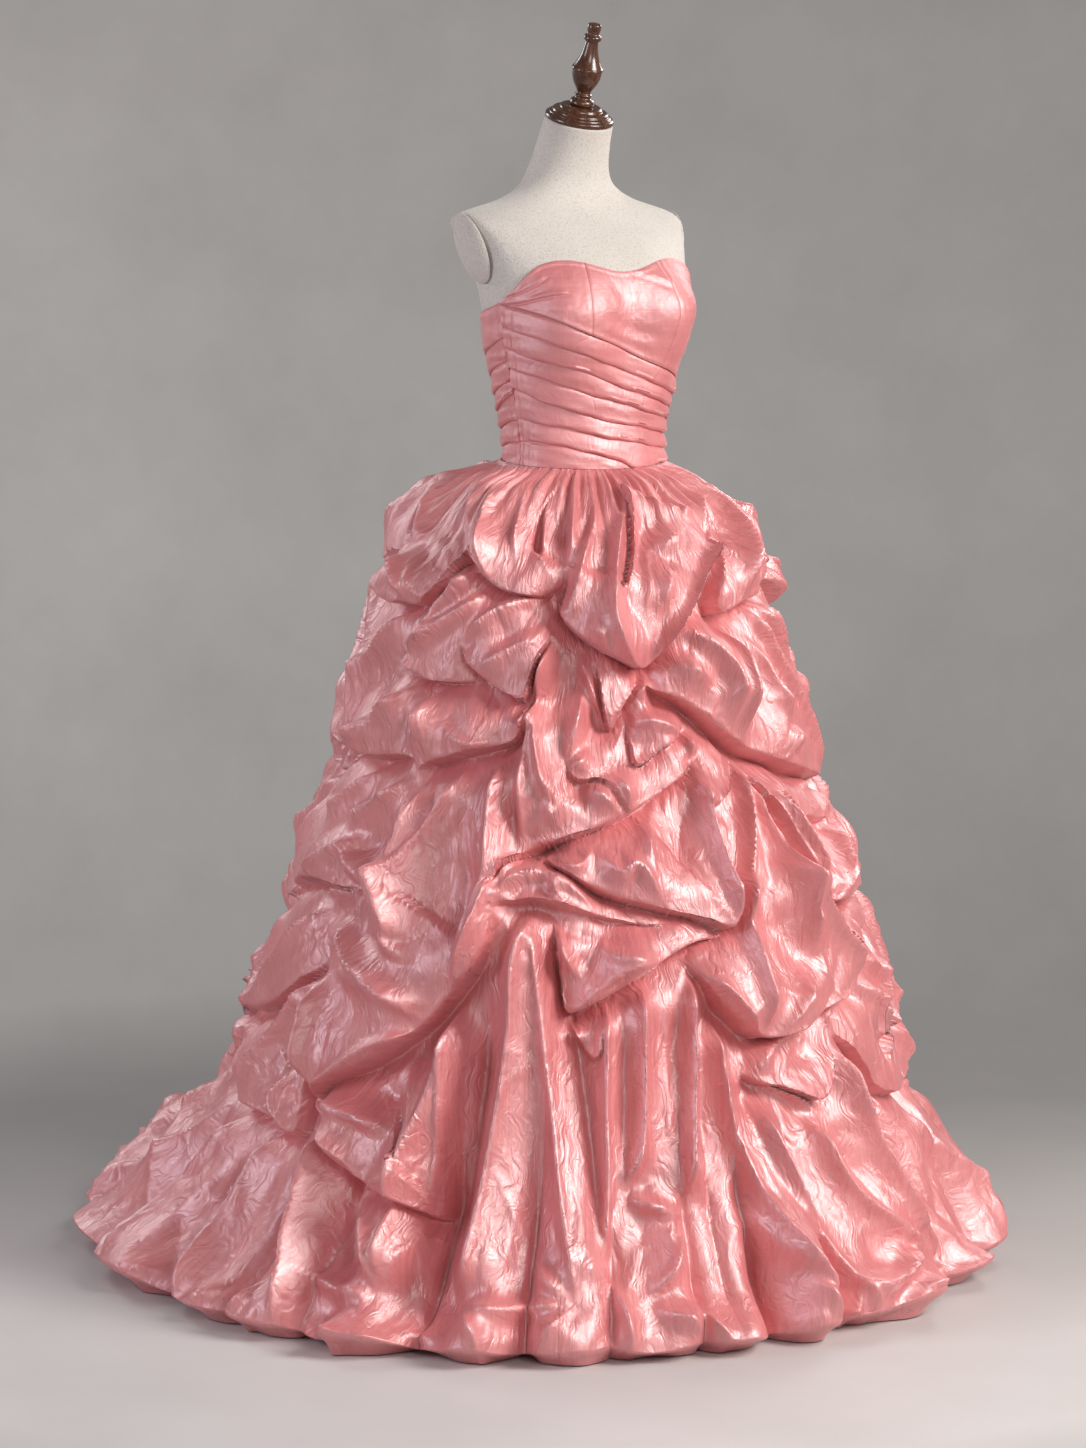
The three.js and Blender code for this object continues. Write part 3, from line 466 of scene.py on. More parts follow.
# ------------------------------------------------------------ turned wood
CAP = [(0, 0), (46.5, 0), (47.3, 1.0), (47.6, 3.2), (47.2, 5.4), (45.8, 6.9), (44.2, 7.5), (43.2, 7.6), (42.8, 8.4), (42.6, 9.4), (40.5, 10.4), (39.2, 10.6), (38.9, 11.4),
       (38.6, 12.8), (37.4, 14.2), (35.2, 15.0), (32.0, 15.4), (30.2, 15.6), (29.6, 16.6), (29.2, 18.2), (27.6, 19.8), (25.2, 20.6), (22.0, 20.9), (0, 21.0)]
FINIAL = [(0, 0), (15.0, 0), (16.2, 1.2), (16.9, 3.4), (16.5, 6.0), (15.0, 8.2), (12.6, 9.3), (11.2, 9.9), (10.7, 11.4), (10.9, 12.8), (11.9, 13.6), (12.1, 14.8), (11.4, 15.9), (10.0, 16.6),
          (9.6, 18.0), (10.2, 20.4), (12.2, 24.0), (15.4, 29.0), (18.2, 35.0), (19.8, 41.0), (20.4, 46.5), (20.5, 49.3), (21.3, 49.9), (21.7, 51.4), (21.3, 53.0), (20.3, 53.8), (19.2, 55.6),
          (17.0, 59.4), (14.6, 64.0), (12.4, 69.6), (10.8, 76.0), (9.6, 82.5), (8.9, 87.5), (8.7, 89.6), (10.2, 90.3), (11.8, 91.6), (12.5, 93.8), (12.2, 96.2), (11.0, 98.0), (9.2, 98.9), (8.2, 99.8),
          (8.1, 101.4), (8.8, 103.2), (9.4, 106.0), (9.6, 109.6), (9.3, 112.4), (8.0, 113.6), (5.0, 114.0), (0, 114.1)]


def turned(name, profile, lift, n=96):
    prof = np.array(profile, float) / 1000
    # rounder: each stretch of the outline is cut in two by a soft curve
    keep = [prof[0]]
    for a, b in zip(prof[:-1], prof[1:]):
        keep += [a * .75 + b * .25, a * .25 + b * .75] if a[0] > 0 and b[0] > 0 else [b]
    prof = np.array(keep)
    ang = np.arange(n) * 2 * math.pi / n
    r, z = prof[:, 0][None, :], prof[:, 1][None, :] + lift
    x, y, zz = r * np.cos(ang)[:, None], r * np.sin(ang)[:, None], z + 0 * ang[:, None]
    c, s = math.cos(NECK_TILT), math.sin(NECK_TILT)
    P = np.stack([AX + x, AY + .011 + y * c - zz * s, 1.590 + y * s + zz * c], -1)
    o = mesh_object(name + "_turned", P.reshape(-1, 3), grid_faces(n, P.shape[1], wrap=True, flip=True),
                    np.stack([np.repeat(ang * .02, P.shape[1]), np.tile(prof[:, 1], n)], -1), WOOD)
    weld(o, 2e-6)
    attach(o, "root"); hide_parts(name)
    return o


build_form()
turned("neck_cap", CAP, SEAM_GAP)
turned("finial", FINIAL, SEAM_GAP * 2 + .021)


# ------------------------------------------------------------------ bodice
CLOTH = .0012
WORN = .0034          # the cloth's outer face above the form, where it lies flat
SIDE = 80.0           # degrees of the side seams
ZIP = 1.6
HAIR = .07            # degrees: half the gap at a seam


def smooth_line(points, x):
    """A curve through a short table of (angle, height), smooth and level at its ends."""
    p = np.array(points, float); a, z = p[:, 0], p[:, 1]
    m = np.gradient(z, a)
    i = np.clip(np.searchsorted(a, x, side="right") - 1, 0, len(a) - 2)
    h = a[i + 1] - a[i]; t = np.clip((x - a[i]) / h, 0, 1)
    return ((2 * t ** 3 - 3 * t ** 2 + 1) * z[i] + (t ** 3 - 2 * t ** 2 + t) * h * m[i] + (-2 * t ** 3 + 3 * t ** 2) * z[i + 1] + (t ** 3 - t ** 2) * h * m[i + 1])


NECKLINE = [(0, 1.3870), (8, 1.3885), (16, 1.3925), (27, 1.3995), (38, 1.4032), (47, 1.4015), (54, 1.3955), (61, 1.3830), (70, 1.3635), (80, 1.3470), (95, 1.3360), (115, 1.3240), (150, 1.3135), (180, 1.3115)]
# the lower, free edges of the tucks, from the wearer's right side to the left
TUCKS = [
    [(-80, 1.3430), (-68, 1.3380), (-48, 1.3250), (-28, 1.3030), (-5, 1.2830), (17, 1.2640), (45, 1.2460), (62, 1.2380), (80, 1.2300)],
    [(-80, 1.3160), (-49, 1.2915), (-25, 1.2720), (-4, 1.2560), (22, 1.2380), (48, 1.2235), (80, 1.2090)],
    [(-80, 1.2860), (-61, 1.2715), (-30, 1.2520), (-2, 1.2315), (22, 1.2180), (44, 1.2075), (80, 1.1920)],
    [(-80, 1.2580), (-52, 1.2390), (-24, 1.2210), (2, 1.2080), (27, 1.1960), (55, 1.1850), (80, 1.1760)],
    [(-80, 1.2310), (-53, 1.2085), (-23, 1.1905), (15, 1.1770), (51, 1.1665), (80, 1.1590)],
    [(-80, 1.1900), (-42, 1.1745), (3, 1.1580), (30, 1.1510), (52, 1.1450), (80, 1.1400)],
    [(-80, 1.1580), (-49, 1.1530), (-14, 1.1370), (2, 1.1290), (16, 1.1205), (40, 1.1180), (80, 1.1230)],
]
BACK_TUCKS = [  # the same from a side seam to the centre back
    [(80, 1.2990), (95, 1.2860), (120, 1.2640), (150, 1.2440), (180, 1.2360)],
    [(80, 1.2680), (95, 1.2560), (120, 1.2380), (150, 1.2200), (180, 1.2120)],
    [(80, 1.2430), (95, 1.2300), (120, 1.2120), (150, 1.1980), (180, 1.1930)],
    [(80, 1.2220), (95, 1.2080), (120, 1.1910), (150, 1.1790), (180, 1.1750)],
    [(80, 1.1880), (95, 1.1790), (120, 1.1680), (150, 1.1600), (180, 1.1570)],
    [(80, 1.1570), (95, 1.1520), (120, 1.1440), (150, 1.1390), (180, 1.1375)],
]


def waist_z(deg):
    return 1.126 - .007 * np.cos(np.radians(deg))


def neck_z(deg):
    return smooth_line(NECKLINE, np.abs((np.asarray(deg) + 180) % 360 - 180))


# One tuck from its root under the tuck above to its own free edge: the share
# of the way down, metres added to that, and how proud it stands.
TUCK_PROFILE = [(.00, -.0004, .02), (.03, -.0006, .08), (.08, 0, .20), (.16, 0, .36), (.26, 0, .50), (.38, 0, .63), (.50, 0, .75), (.62, 0, .86), (.74, 0, .94), (.84, 0, .99),
                (1.0, .0034, 1.0), (1.0, .0020, .97), (1.0, .0009, .88), (1.0, .0000, .70), (1.0, -.0006, .46), (1.0, -.0004, .24), (1.0, .0004, .08)]


def tucked(deg, lines, foot, proud, seed, mirror=1):
    """Outer points of a tucked panel. lines are the free edges, the first one
    being the panel's own top; proud is how far each tuck stands out."""
    cols = []
    edges = [smooth_line(l, deg * mirror if mirror < 0 else deg) for l in lines] + [foot]
    for k in range(len(edges) - 1):
        edges[k + 1] = np.minimum(edges[k + 1], edges[k] - .0012)
        edges[k + 1] = np.maximum(edges[k + 1], foot + .0004 * (len(edges) - 2 - k))
    zs, hs, us = [], [], []
    g = np.random.default_rng(seed)
    for k in range(len(edges) - 1):
        hi, lo = edges[k], edges[k + 1]
        gap = hi - lo
        size = np.clip(gap / .012, 0, 1)          # a tuck that runs out flattens
        last = k == len(edges) - 2
        # a tuck's own slow swelling, and pinches near the side seams
        swell = 1 + .22 * np.sin(deg / 17 + g.uniform(0, 6)) + .12 * np.sin(deg / 6.3 + g.uniform(0, 6))
        near = np.exp(-((np.abs(deg) - SIDE) / 10) ** 2)
        pinch = near * .55 * (np.sin(deg * 1.15 + g.uniform(0, 6)) * .5 + .5)
        wob = .0010 * np.sin(deg / 9 + g.uniform(0, 6)) + .0006 * np.sin(deg / 3.7 + g.uniform(0, 6))
        for q, (f, d, h) in enumerate(TUCK_PROFILE):
            if last and f == 1.0:
                d_, h_ = .0006, h * .0 + .35
                if q < len(TUCK_PROFILE) - 1:
                    continue
                d_ = 0
                z = lo + 0 * hi
                zs.append(z); hs.append(proud * size * .35 + 0 * z); us.append(hi - z)
                continue
            z = hi + (lo - hi) * f + d * size
            if 0 < k or f > .1:
                z = z + wob * (np.sin(math.pi * min(1, f * .5 + .5 * f)) if f < 1 else 1) * size * (0 if last else 1) * (f > .05)
            fold = h
            if last:
                fold = h * (1 - .65 * f)
            hh = proud * fold * size * swell * (1 - pinch * (h ** .5))
            zs.append(z); hs.append(hh); us.append(hi - z)
    return np.stack(zs, 1), np.stack(hs, 1)


def tuck_wrinkles(deg, z, seed, amount=1.0):
    """Fine slack lines that run along the tucks."""
    u = deg * .0022
    slope = z + .00045 * deg
    w = waves(u * 6, slope * 60, 1.0, seed, 8) * .00042 + waves(u * 14, slope * 110, 1.0, seed + 1, 8) * .00022
    side = np.exp(-((np.abs((deg + 180) % 360 - 180) - SIDE) / 13) ** 2)
    w = w * (1 + 1.6 * side)
    return w * amount


def midriff():
    deg = np.linspace(-SIDE + HAIR, SIDE - HAIR, 206)
    foot = waist_z(deg) + .0002
    z, h = tucked(deg, TUCKS, foot, .0052, 21)
    D = np.repeat(deg[:, None], z.shape[1], 1)
    off = WORN + h + tuck_wrinkles(D, z, 31)
    P = form_point(np.radians(D), z, off)
    inner = form_point(np.radians(D), z, np.full_like(off, WORN - CLOTH - .0008))
    uv = np.stack([D * .0022, z], -1)
    o = shell("midriff_front_tucks", P, CLOTH, TAFFETA_BODICE, uv, inner)
    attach(o, "root"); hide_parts("midriff_front")
    return o


def back_panel(name, side):
    near, far = SIDE + HAIR, 180 - ZIP - HAIR
    deg = np.linspace(near, far, 98)
    foot = waist_z(deg) + .0002
    top = [(a, float(neck_z(a))) for a in (80, 88, 96, 108, 125, 145, 165, 180)]
    z, h = tucked(deg, [top] + BACK_TUCKS, foot, .0044, 41 + side)
    # above the first tuck the panel is plain
    first = len(TUCK_PROFILE) - 7
    h[:, :first] = h[:, :first] * np.linspace(.4, 1, first)[None, :] ** 2
    D = np.repeat(deg[:, None], z.shape[1], 1)
    off = WORN + h + tuck_wrinkles(D, z, 51 + side)
    inner_off = np.full_like(off, WORN - CLOTH - .0008)
    if side < 0:
        z, D, off = z[::-1], -D[::-1], off[::-1]
        D = 360 + D
    P = form_point(np.radians(D), z, off)
    inner = form_point(np.radians(D), z, inner_off)
    uv = np.stack([D * .0022, z], -1)
    o = shell(name + "_tucks", P, CLOTH, TAFFETA_BODICE, uv, inner)
    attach(o, "root"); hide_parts(name)
    return o


def crease(D, Z, line, width, depth, start=.12, end=.12):
    """A soft trough (depth < 0) or ridge along a short table of (angle, height)."""
    p = np.array(line, float)
    best = np.full(D.shape, 9.0); tt = np.zeros(D.shape)
    scale = .0024
    seg = np.hypot(np.diff(p[:, 0]) * scale, np.diff(p[:, 1])); cum = np.concatenate([[0], np.cumsum(seg)]) / seg.sum()
    for i in range(len(p) - 1):
        ax_, az_ = p[i, 0] * scale, p[i, 1]; bx, bz = p[i + 1, 0] * scale, p[i + 1, 1]
        vx, vz = bx - ax_, bz - az_
        t = np.clip(((D * scale - ax_) * vx + (Z - az_) * vz) / (vx * vx + vz * vz), 0, 1)
        d = np.hypot(D * scale - ax_ - t * vx, Z - az_ - t * vz)
        m = d < best
        best = np.where(m, d, best); tt = np.where(m, cum[i] + t * (cum[i + 1] - cum[i]), tt)
    fade = np.clip(tt / start, 0, 1) * np.clip((1 - tt) / end, 0, 1)
    fade = fade * fade * (3 - 2 * fade)
    return depth * fade * np.exp(-(best / width) ** 2)


BUST_CREASES = [  # angle-height line, width, depth (metres), to be read with the wearer's right as minus
    ([(-79, 1.3420), (-68, 1.3440), (-60, 1.3490), (-48, 1.3560), (-37, 1.3590)], .0016, -.0024),
    ([(-79, 1.3460), (-68, 1.3480), (-60, 1.3530), (-48, 1.3600), (-38, 1.3630)], .0034, .0024),
    ([(-79, 1.3500), (-66, 1.3590), (-56, 1.3700), (-47, 1.3840)], .0014, -.0014),
    ([(-79, 1.3530), (-67, 1.3620), (-58, 1.3730), (-50, 1.3850)], .0030, .0014),
    ([(-78, 1.3460), (-66, 1.3560), (-55, 1.3680), (-46, 1.3800)], .0040, .0012),
    ([(-76, 1.3400), (-64, 1.3500), (-54, 1.3620)], .0030, -.0010),
    ([(-60, 1.3330), (-48, 1.3400), (-38, 1.3420)], .0050, .0010),
    ([(2, 1.3860), (10, 1.3800), (18, 1.3740), (28, 1.3620)], .0040, -.0012),
    ([(5, 1.3880), (14, 1.3830), (24, 1.3770), (31, 1.3700)], .0050, .0012),
    ([(31, 1.3900), (40, 1.3820), (50, 1.3640), (60, 1.3460)], .0060, -.0011),
    ([(-24, 1.3150), (-12, 1.3050), (2, 1.2950), (20, 1.2850)], .0060, .0012),
    ([(-20, 1.3300), (-4, 1.3150), (14, 1.3030), (32, 1.2930)], .0070, -.0010),
    ([(36, 1.3200), (48, 1.3020), (60, 1.2880), (74, 1.2760)], .0060, -.0010),
    ([(40, 1.2850), (52, 1.2740), (66, 1.2650), (78, 1.2580)], .0050, .0010),
    ([(44, 1.3000), (58, 1.2860), (76, 1.2700)], .0050, .0009),
    ([(-14, 1.3700), (-6, 1.3560), (0, 1.3400), (4, 1.3260)], .0080, -.0009),
]


def bust_panel(name, lo, hi, cols):
    deg = np.linspace(lo + HAIR, hi - HAIR, cols)
    top = neck_z(deg)
    foot = smooth_line(TUCKS[0], deg) + .0006
    top = np.maximum(top, foot + .002)
    n = 56
    f = np.linspace(0, 1, n) ** 1.0
    z = top[:, None] + (foot - top)[:, None] * f[None, :]
    D = np.repeat(deg[:, None], n, 1)
    off = np.full_like(z, WORN + .0012)
    for line, width, depth in BUST_CREASES:
        off += crease(D, z, line, width, depth)
    # the seams dip where they are sewn
    for s in (-28.0, 28.0, -SIDE, SIDE):
        off -= .0007 * np.exp(-((D - s) * .0024 / .0013) ** 2)
        off += .0005 * np.exp(-((np.abs(D - s) - 2.0) * .0024 / .0030) ** 2)
    off += waves(D * .0022, z, .030, 61, 8) * .00022 + waves(D * .0022 + z * .5, z - D * .0011, .013, 62, 8) * .00010
    # the turned top edge, and the folded lower edge that lies on the tucks
    dtop = (top[:, None] - z); dlow = (z - foot[:, None])
    off += .0009 * np.exp(-(dtop / .0045) ** 2) - .0014 * np.exp(-(dtop / .0011) ** 2)
    off += .0022 * np.exp(-(dlow / .0060) ** 2) - .0016 * np.exp(-(dlow / .0012) ** 2)
    off -= .0007 * np.exp(-((dtop - .0068) / .0010) ** 2)
    P = form_point(np.radians(D), z, off)
    inner = form_point(np.radians(D), z, np.full_like(off, WORN - CLOTH - .0002) + .0010 * np.exp(-(dlow / .004) ** 2))
    uv = np.stack([D * .0022 + .01, z], -1)
    o = shell(name + "_panel", P, CLOTH, TAFFETA_BODICE, uv, inner)
    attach(o, "root"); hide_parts(name)
    return o


def zip_strip():
    s = np.linspace(-1, 1, 15)
    z = np.linspace(float(neck_z(180)) - .001, float(waist_z(180)) + .0010, 90)
    D = 180 + s[:, None] * (ZIP - HAIR) + 0 * z[None, :]
    Z = z[None, :] + 0 * D
    off = WORN - .0012 + .0012 * (1 - np.abs(s[:, None]) ** 3) + .00025 * np.sin(z[None, :] * 900) * (1 - np.abs(s[:, None]))
    off -= .0009 * np.exp(-(s[:, None] / .10) ** 2)
    P = form_point(np.radians(D), Z, off)
    inner = form_point(np.radians(D), Z, np.full_like(off, .0008))
    o = shell("back_zip_strip", P, CLOTH, TAFFETA_BODICE, np.stack([D * .0022, Z], -1), inner)
    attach(o, "root"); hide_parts("back_zip")
    return o


BODICE = [midriff(), back_panel("back_left", 1), back_panel("back_right", -1),
          bust_panel("bust_centre", -28, 28, 86), bust_panel("bust_side_right", -SIDE, -28, 80), bust_panel("bust_side_left", 28, SIDE, 80), zip_strip()]


# ------------------------------------------------------------------- skirt
# The skirt's surface is laid out on a sheet of (angle, height): pouches that
# swell down to a lower edge and hang over it, crisp ridges and troughs, long
# upright folds, gathers and crushes. Heights stand on the outline's normals.
OUTLINE = np.array([
    # z, front, side, back
    (0.000, .545, .612, .850), (0.060, .512, .566, .770), (0.127, .490, .528, .700),
    (0.280, .446, .472, .578), (0.365, .431, .455, .530), (0.550, .390, .410, .460),
    (0.700, .326, .352, .402), (0.830, .290, .316, .352), (0.930, .272, .298, .338),
    (1.000, .246, .280, .322), (1.050, .210, .240, .276), (1.080, .176, .202, .236),
    (1.100, .140, .168, .190), (1.122, .108, .128, .118)])


def smooth_interp(z, zs, vs):
    """Values along a short table, without corners."""
    z = np.clip(z, zs[0], zs[-1]); m = np.gradient(vs, zs)
    i = np.clip(np.searchsorted(zs, z, side="right") - 1, 0, len(zs) - 2)
    h = zs[i + 1] - zs[i]; t = (z - zs[i]) / h
    return ((2 * t ** 3 - 3 * t ** 2 + 1) * vs[i] + (t ** 3 - 2 * t ** 2 + t) * h * m[i] + (-2 * t ** 3 + 3 * t ** 2) * vs[i + 1] + (t ** 3 - t ** 2) * h * m[i + 1])


_OZ = np.linspace(0, 1.122, 500)
_OF, _OS, _OB = (smooth_interp(_OZ, OUTLINE[:, 0], OUTLINE[:, k]) for k in (1, 2, 3))


def outline(phi, z):
    z = np.clip(z, 0, 1.122)
    f, s, b = (np.interp(z, _OZ, v) for v in (_OF, _OS, _OB))
    c = np.cos(phi)
    return s + (np.where(c > 0, f, b) - s) * c * c


def waist_radius(phi):
    c, s = np.cos(phi), np.sin(phi)
    d = np.where(c > 0, .0865, .0835)
    return ((np.abs(s) / .1135) ** 2.15 + (np.abs(c) / d) ** 2.15) ** (-1 / 2.15) + .006


def both_halves(rows, seed=5):
    """The strokes of the half that the photo shows, and the same turned to the other half and varied."""
    g = np.random.default_rng(seed)
    out = []
    for r in rows:
        pts = np.array(r["p"], float)
        out.append(dict(r, p=pts))
        q = pts.copy()
        # turned half round, and bent a little so that it isn't the same
        q[:, 0] = q[:, 0] + 180 + 5.0 * np.sin(np.radians(pts[:, 0] * 2) + 1) + 4.0 * np.sin(pts[:, 1] * 7 + 2)
        q[:, 1] = q[:, 1] * (1 + .035 * np.sin(np.radians(pts[:, 0] * 1.7) + .6))
        d = dict(r, p=q)
        d["height"] = r["height"] * g.uniform(.85, 1.1)
        out.append(d)
    return out


def soften(p, times=1):
    """A polyline with its corners cut."""
    for _ in range(times):
        q = [p[0]]
        for a, b in zip(p[:-1], p[1:]):
            q += [a * .78 + b * .22, a * .22 + b * .78]
        q.append(p[-1]); p = np.array(q)
    return p


def nearest(U, V, p, R):
    """For points (U degrees, V metres): the signed distance to a polyline, plus on its upper side when it runs to the left, and the share of its length."""
    best = np.full(U.shape, 9.0); sign = np.ones(U.shape); share = np.zeros(U.shape)
    rad = math.pi / 180
    seg = np.hypot(np.diff(p[:, 0]) * rad * float(np.median(R)), np.diff(p[:, 1])); cum = np.concatenate([[0], np.cumsum(seg)]) / max(seg.sum(), 1e-6)
    for i in range(len(p) - 1):
        dx = (U - p[i, 0] + 180) % 360 - 180
        x, y = dx * rad * R, V - p[i, 1]
        bx, by = (p[i + 1, 0] - p[i, 0]) * rad * R, p[i + 1, 1] - p[i, 1]
        L = bx * bx + by * by + 1e-12
        t = np.clip((x * bx + y * by) / L, 0, 1)
        ex, ey = x - t * bx, y - t * by
        d = np.sqrt(ex * ex + ey * ey)
        m = d < best
        best = np.where(m, d, best)
        sign = np.where(m, np.where(bx * y - by * x >= 0, 1.0, -1.0), sign)
        share = np.where(m, cum[i] + t * (cum[i + 1] - cum[i]), share)
    return best, sign, share, float(seg.sum())


def window(U, V, p, R, reach):
    """The columns and rows of the grid that a polyline's reach can touch."""
    mid = (p[:, 0].min() + p[:, 0].max()) / 2; half = (p[:, 0].max() - p[:, 0].min()) / 2 + math.degrees(reach / max(.09, R0[int(np.argmin(np.abs(Z0 - p[:, 1].max())))]))
    cols = np.nonzero(np.abs((U[:, 0] - mid + 180) % 360 - 180) <= half)[0]
    if not len(cols):
        return None
    vmin, vmax = V[cols].min(0), V[cols].max(0)
    rows = np.nonzero((vmax >= p[:, 1].min() - reach) & (vmin <= p[:, 1].max() + reach))[0]
    if not len(rows):
        return None
    return np.ix_(cols, np.arange(rows[0], rows[-1] + 1))


Z0 = np.linspace(0, 1.122, 300); R0 = outline(np.radians(90), Z0)


def step01(x):
    x = np.clip(x, 0, 1)
    return x * x * (3 - 2 * x)


def pouch_field(U, V, R, rows, edge=.009):
    """Heights of the pouches, how hard they hang over, and the shade below them."""
    total = np.zeros(U.shape); under = np.zeros(U.shape); dip = np.zeros(U.shape)
    for r in rows:
        p = soften(r["p"], 2); D, H = r["height"], r["swell"]
        w = window(U, V, p, R, H + .03)
        if w is None:
            continue
        u, v, rr = U[w], V[w], R[w]
        d, sg, t, length = nearest(u, v, p, rr)
        s = d * sg
        a, b = r["taper"]
        ends = step01(t / max(a, .01)) * step01((1 - t) / max(b, .01)) if True else 1
        ends = np.sqrt(ends)
        up = np.clip(s / H, 0, 1)
        body = np.cos(math.pi / 2 * up) ** 1.15
        # full just above the edge, and rolled under along it
        lift = D * ends * body * step01((s + edge) / (2 * edge)) * (1 - .40 * np.exp(-(np.clip(s, 0, 9) / (.10 * H + .010)) ** 1.6))
        total[w] += lift ** 4
        under[w] = np.maximum(under[w], ends * D * np.exp(-(np.clip(s, -.004, 9) / .030) ** 2) * step01((s + edge) / (2 * edge)))
        below = np.clip(-s, 0, 9)
        dip[w] = np.maximum(dip[w], (s < 0) * ends * D * .62 * np.exp(-(below / .030) ** 1.4))
    return total ** .25, under, dip


def fold_field(U, V, R, rows):
    """Crisp ridges and softer troughs."""
    up = np.zeros(U.shape)
    for r in rows:
        p = soften(r["p"], 2); A, W = r["height"], r["width"] * (1 if r["height"] > 0 else 1.7)
        reach = W * 3.2
        w = window(U, V, p, R, reach)
        if w is None:
            continue
        u, v, rr = U[w], V[w], R[w]
        d, sg, t, length = nearest(u, v, p, rr)
        end = min(.5, (.055 if A > 0 else .085) / max(length, .03))
        ends = step01(t / end) * step01((1 - t) / end)
        # a tent with a slightly rounded ridge
        q = (np.sqrt(d * d + (.0010 if A > 0 else .003) ** 2)) / W
        f = np.exp(-q * 1.05) * (1 - step01((d / reach - .6) / .4))
        lean = 1 + .25 * sg * np.clip(d / W, 0, 1)
        up[w] += A * (1 if A > 0 else .60) * ends * f * lean
    return up


def run_of_folds(rows):
    """Places and directions along the drawn folds, to lay the small creases by."""
    out = []
    for r in rows:
        p = soften(r["p"], 1); rr = np.interp(p[:, 1], Z0, R0)
        dx = np.radians(np.diff(p[:, 0])) * (rr[1:] + rr[:-1]) / 2; dy = np.diff(p[:, 1])
        out.append(np.stack([(p[1:, 0] + p[:-1, 0]) / 2, (p[1:, 1] + p[:-1, 1]) / 2, np.arctan2(dy, dx), np.hypot(dx, dy)], -1))
    return np.concatenate(out)


def crush_field(U, V, R, n, size, height, width, seed, zone=None, wild=.18, runs=None):
    """Many short, sharp creases with random places, most of them along the folds near them."""
    g = np.random.default_rng(seed)
    out = np.zeros(U.shape)
    for _ in range(n):
        u0 = g.uniform(-180, 180); v0 = g.uniform(*(zone or (.02, 1.06)))
        L = size * g.uniform(.5, 1.5); a = g.normal(90, 22)
        if g.random() < wild:
            a = g.uniform(0, 180)
        rr0 = np.interp(v0, Z0, R0)
        if runs is not None:
            du = np.radians((runs[:, 0] - u0 + 180) % 360 - 180) * rr0
            wt = np.exp(-(du ** 2 + (runs[:, 1] - v0) ** 2) / .040 ** 2) * runs[:, 3]
            run = (wt * np.exp(2j * runs[:, 2])).sum() - .004
            a = math.degrees(np.angle(run)) / 2 + g.normal(0, 11)
            if g.random() < wild:
                a += g.choice([-1, 1]) * g.uniform(35, 90)
        dx, dy = math.cos(math.radians(a)) * L / 2, math.sin(math.radians(a)) * L / 2
        bend = g.uniform(-.3, .3) * L
        p = np.array([(u0 - math.degrees(dx / rr0), v0 - dy), (u0 + math.degrees(bend * math.sin(math.radians(a)) / rr0), v0 - bend * math.cos(math.radians(a))), (u0 + math.degrees(dx / rr0), v0 + dy)])
        p[:, 1] = np.clip(p[:, 1], .004, 1.1)
        W = width * g.uniform(.6, 1.5); A = height * g.uniform(.4, 1.3) * (1 if g.random() < .62 else -1)
        w = window(U, V, p, R, W * 3)
        if w is None:
            continue
        d, sg, t, length = nearest(U[w], V[w], p, R[w])
        ends = step01(t / .45) * step01((1 - t) / .45)
        out[w] += A * ends * np.exp(-np.sqrt(d * d + .0011 ** 2) / W) * (1 - step01((d / W / 3 - .6) / .4))
    return out


